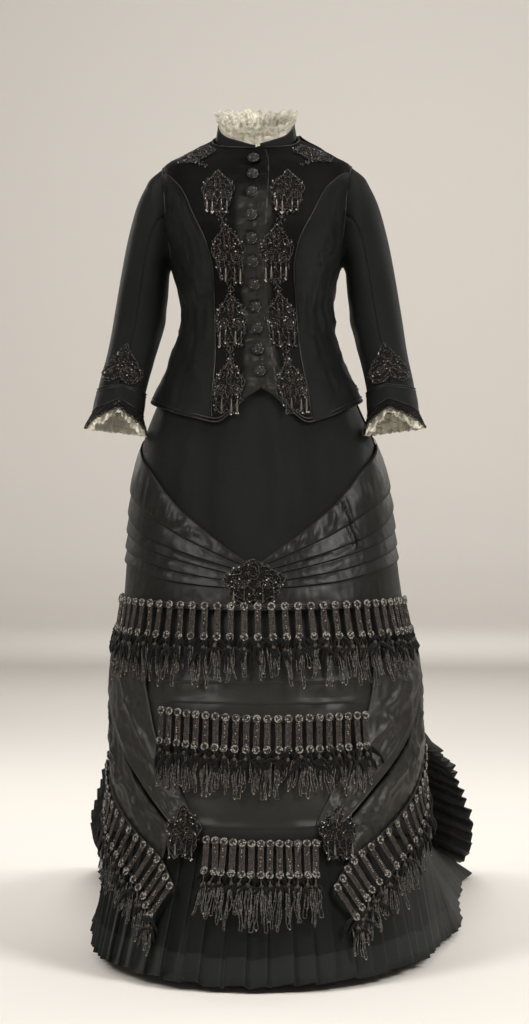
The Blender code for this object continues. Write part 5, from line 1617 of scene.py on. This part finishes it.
def beadwork(name, point, half_width, half_height, drops, node, seed):
    """A motif; point(across, up, lift) gives places on the cloth that carries it."""
    chance = np.random.default_rng(seed)
    heap = Heap()
    ring = np.linspace(0.02, 1.0, 6)[:, None]
    turn = np.linspace(0, 2 * math.pi, 60, endpoint=False)[None, :]
    lobe = 0.86 * lobes(turn) * ring
    across, up = half_width * lobe * np.sin(turn), half_height * lobe * np.cos(turn)
    heap.grid(point(across, up, 0.0010 - 0.0007 * ring), NET, True)
    out = unit(point(0.0, 0.0, 0.01) - point(0.0, 0.0, 0.0))
    for k, (x, y) in enumerate(motif_lines()):
        across, up = strung((half_width * x, half_height * y), BEAD_PITCH)
        across = across + chance.normal(0, 0.0004, len(across))
        up = up + chance.normal(0, 0.0004, len(up))
        size = chance.uniform(0.00075, 0.00125, len(across))
        spots = point(across, up, 0.0015 + chance.uniform(0, 0.0012, len(across)))
        axes = unit(np.gradient(spots, axis=0)) if len(spots) > 2 else np.array((1.0, 0, 0))
        beads(heap, spots, size, axes, out, BROWN_JET if k % 3 else JET)
    count = int(SCATTER * half_width * half_height)
    radius, angle = np.sqrt(chance.uniform(0, 1.0, count)), chance.uniform(0, 6.3, count)
    across, up = half_width * radius * np.sin(angle), half_height * radius * np.cos(angle)
    size = chance.uniform(0.0008, 0.0012, count)
    beads(heap, point(across, up, 0.0015), size, chance.normal(size=(count, 3)), out, JET)
    for hand in (-1, 1):
        for drop in range(drops):
            across = half_width * (hand * 0.46 + (drop - (drops - 1) / 2) * 0.34)
            length = 0.72 * half_height * chance.uniform(0.85, 1.1)
            start = -DROP_START * half_height
            spots = point(across, start - np.arange(0, 0.40 * length, DROP_STRING), 0.0036)
            beads(heap, spots, 0.0010, (0, 0, 1.0), out, JET)
            middle = point(across, start - 0.72 * length, 0.0044)
            slender = 0.32 * length / DROP_RADIUS
            beads(
                heap, middle, DROP_RADIUS, (0, 0, -1.0), out, DROP_JET, DROP_PROFILE, 7, slender
            )
            tip_across, tip_up = ((across, start - 1.04 * length) + DROP_TIP).T
            beads(heap, point(tip_across, tip_up, 0.0042), 0.0013, (0, 0, 1.0), out, TIP_JET)
    heap.piece(name, [node])


def surface_point(form, angle, z, lift):
    """Across and up on a form round a centre, for beadwork."""
    width = float(form(z)[0]) * max(0.3, math.cos(math.radians(angle)))

    def point(across, up, rise):
        place = on_bodice if form is BODICE else lambda *where: on_form(form, *where)
        return place(angle + np.degrees(across / width), z + up, lift + rise)

    return point


for number, (name, form, angle, z, half_width, half_height, drops, lift) in enumerate(MOTIFS):
    middle = 2.0 if form is SKIRT else 0.0
    for word, side in SIDES.items():
        beadwork(
            f"{name}_motif_{word}_beads", surface_point(form, side * angle + middle, z, lift),
            half_width, half_height, drops, f"{name}_motif_{word}", 121 + 2 * number + side,
        )
swag_place = surface_point(SKIRT, 0, 0.600, 0.0085)
beadwork("swag_motif_beads", swag_place, 0.047, 0.034, 2, "swag_motif", 151)


SLEEVE_MOTIF_DOWN, SLEEVE_MOTIF_TURN = 6.28, 84
RING_STEP = 0.036  # from one ring of the sleeve to the next
DEGREE_WIDTH = 0.0007  # of a degree round the sleeve


def sleeve_surface(side):
    """Across and up on a sleeve above its cuff, for beadwork."""

    def point(across, up, rise):
        down = SLEEVE_MOTIF_DOWN - (up - 0.50 * np.abs(across)) / RING_STEP
        turn = SLEEVE_MOTIF_TURN - side * across / DEGREE_WIDTH
        return sleeve_point(side, down, turn, 0.0018 + rise)

    return point


for word, side in SIDES.items():
    beadwork(
        f"sleeve_motif_{word}_beads", sleeve_surface(side), 0.038, 0.024, 0, f"sleeve_motif_{word}",
        153 + side,
    )
    vines = Heap()
    chance = np.random.default_rng(157 + side)
    for start_angle, start_z, end_angle, end_z in VINES:
        steps = np.linspace(0, 1, max(int(abs(end_z - start_z) / 0.0022), 9))
        z = mix(start_z, end_z, steps)
        for sway in (-1, 1, 0):
            angle = mix(start_angle, end_angle, steps) + sway * 2.6 * np.sin(math.pi * steps * 3)
            spots = on_bodice(side * angle, z, 0.0026 + 0.0004 * chance.normal(size=len(z)))
            size = chance.uniform(0.0010, 0.0015, len(z))
            facing = outward(BODICE, side * angle, z)
            beads(vines, spots, size, (0, 0, 1.0), facing, JET if sway else BROWN_JET)
    vines.piece(f"vest_vines_{word}_beads", [])
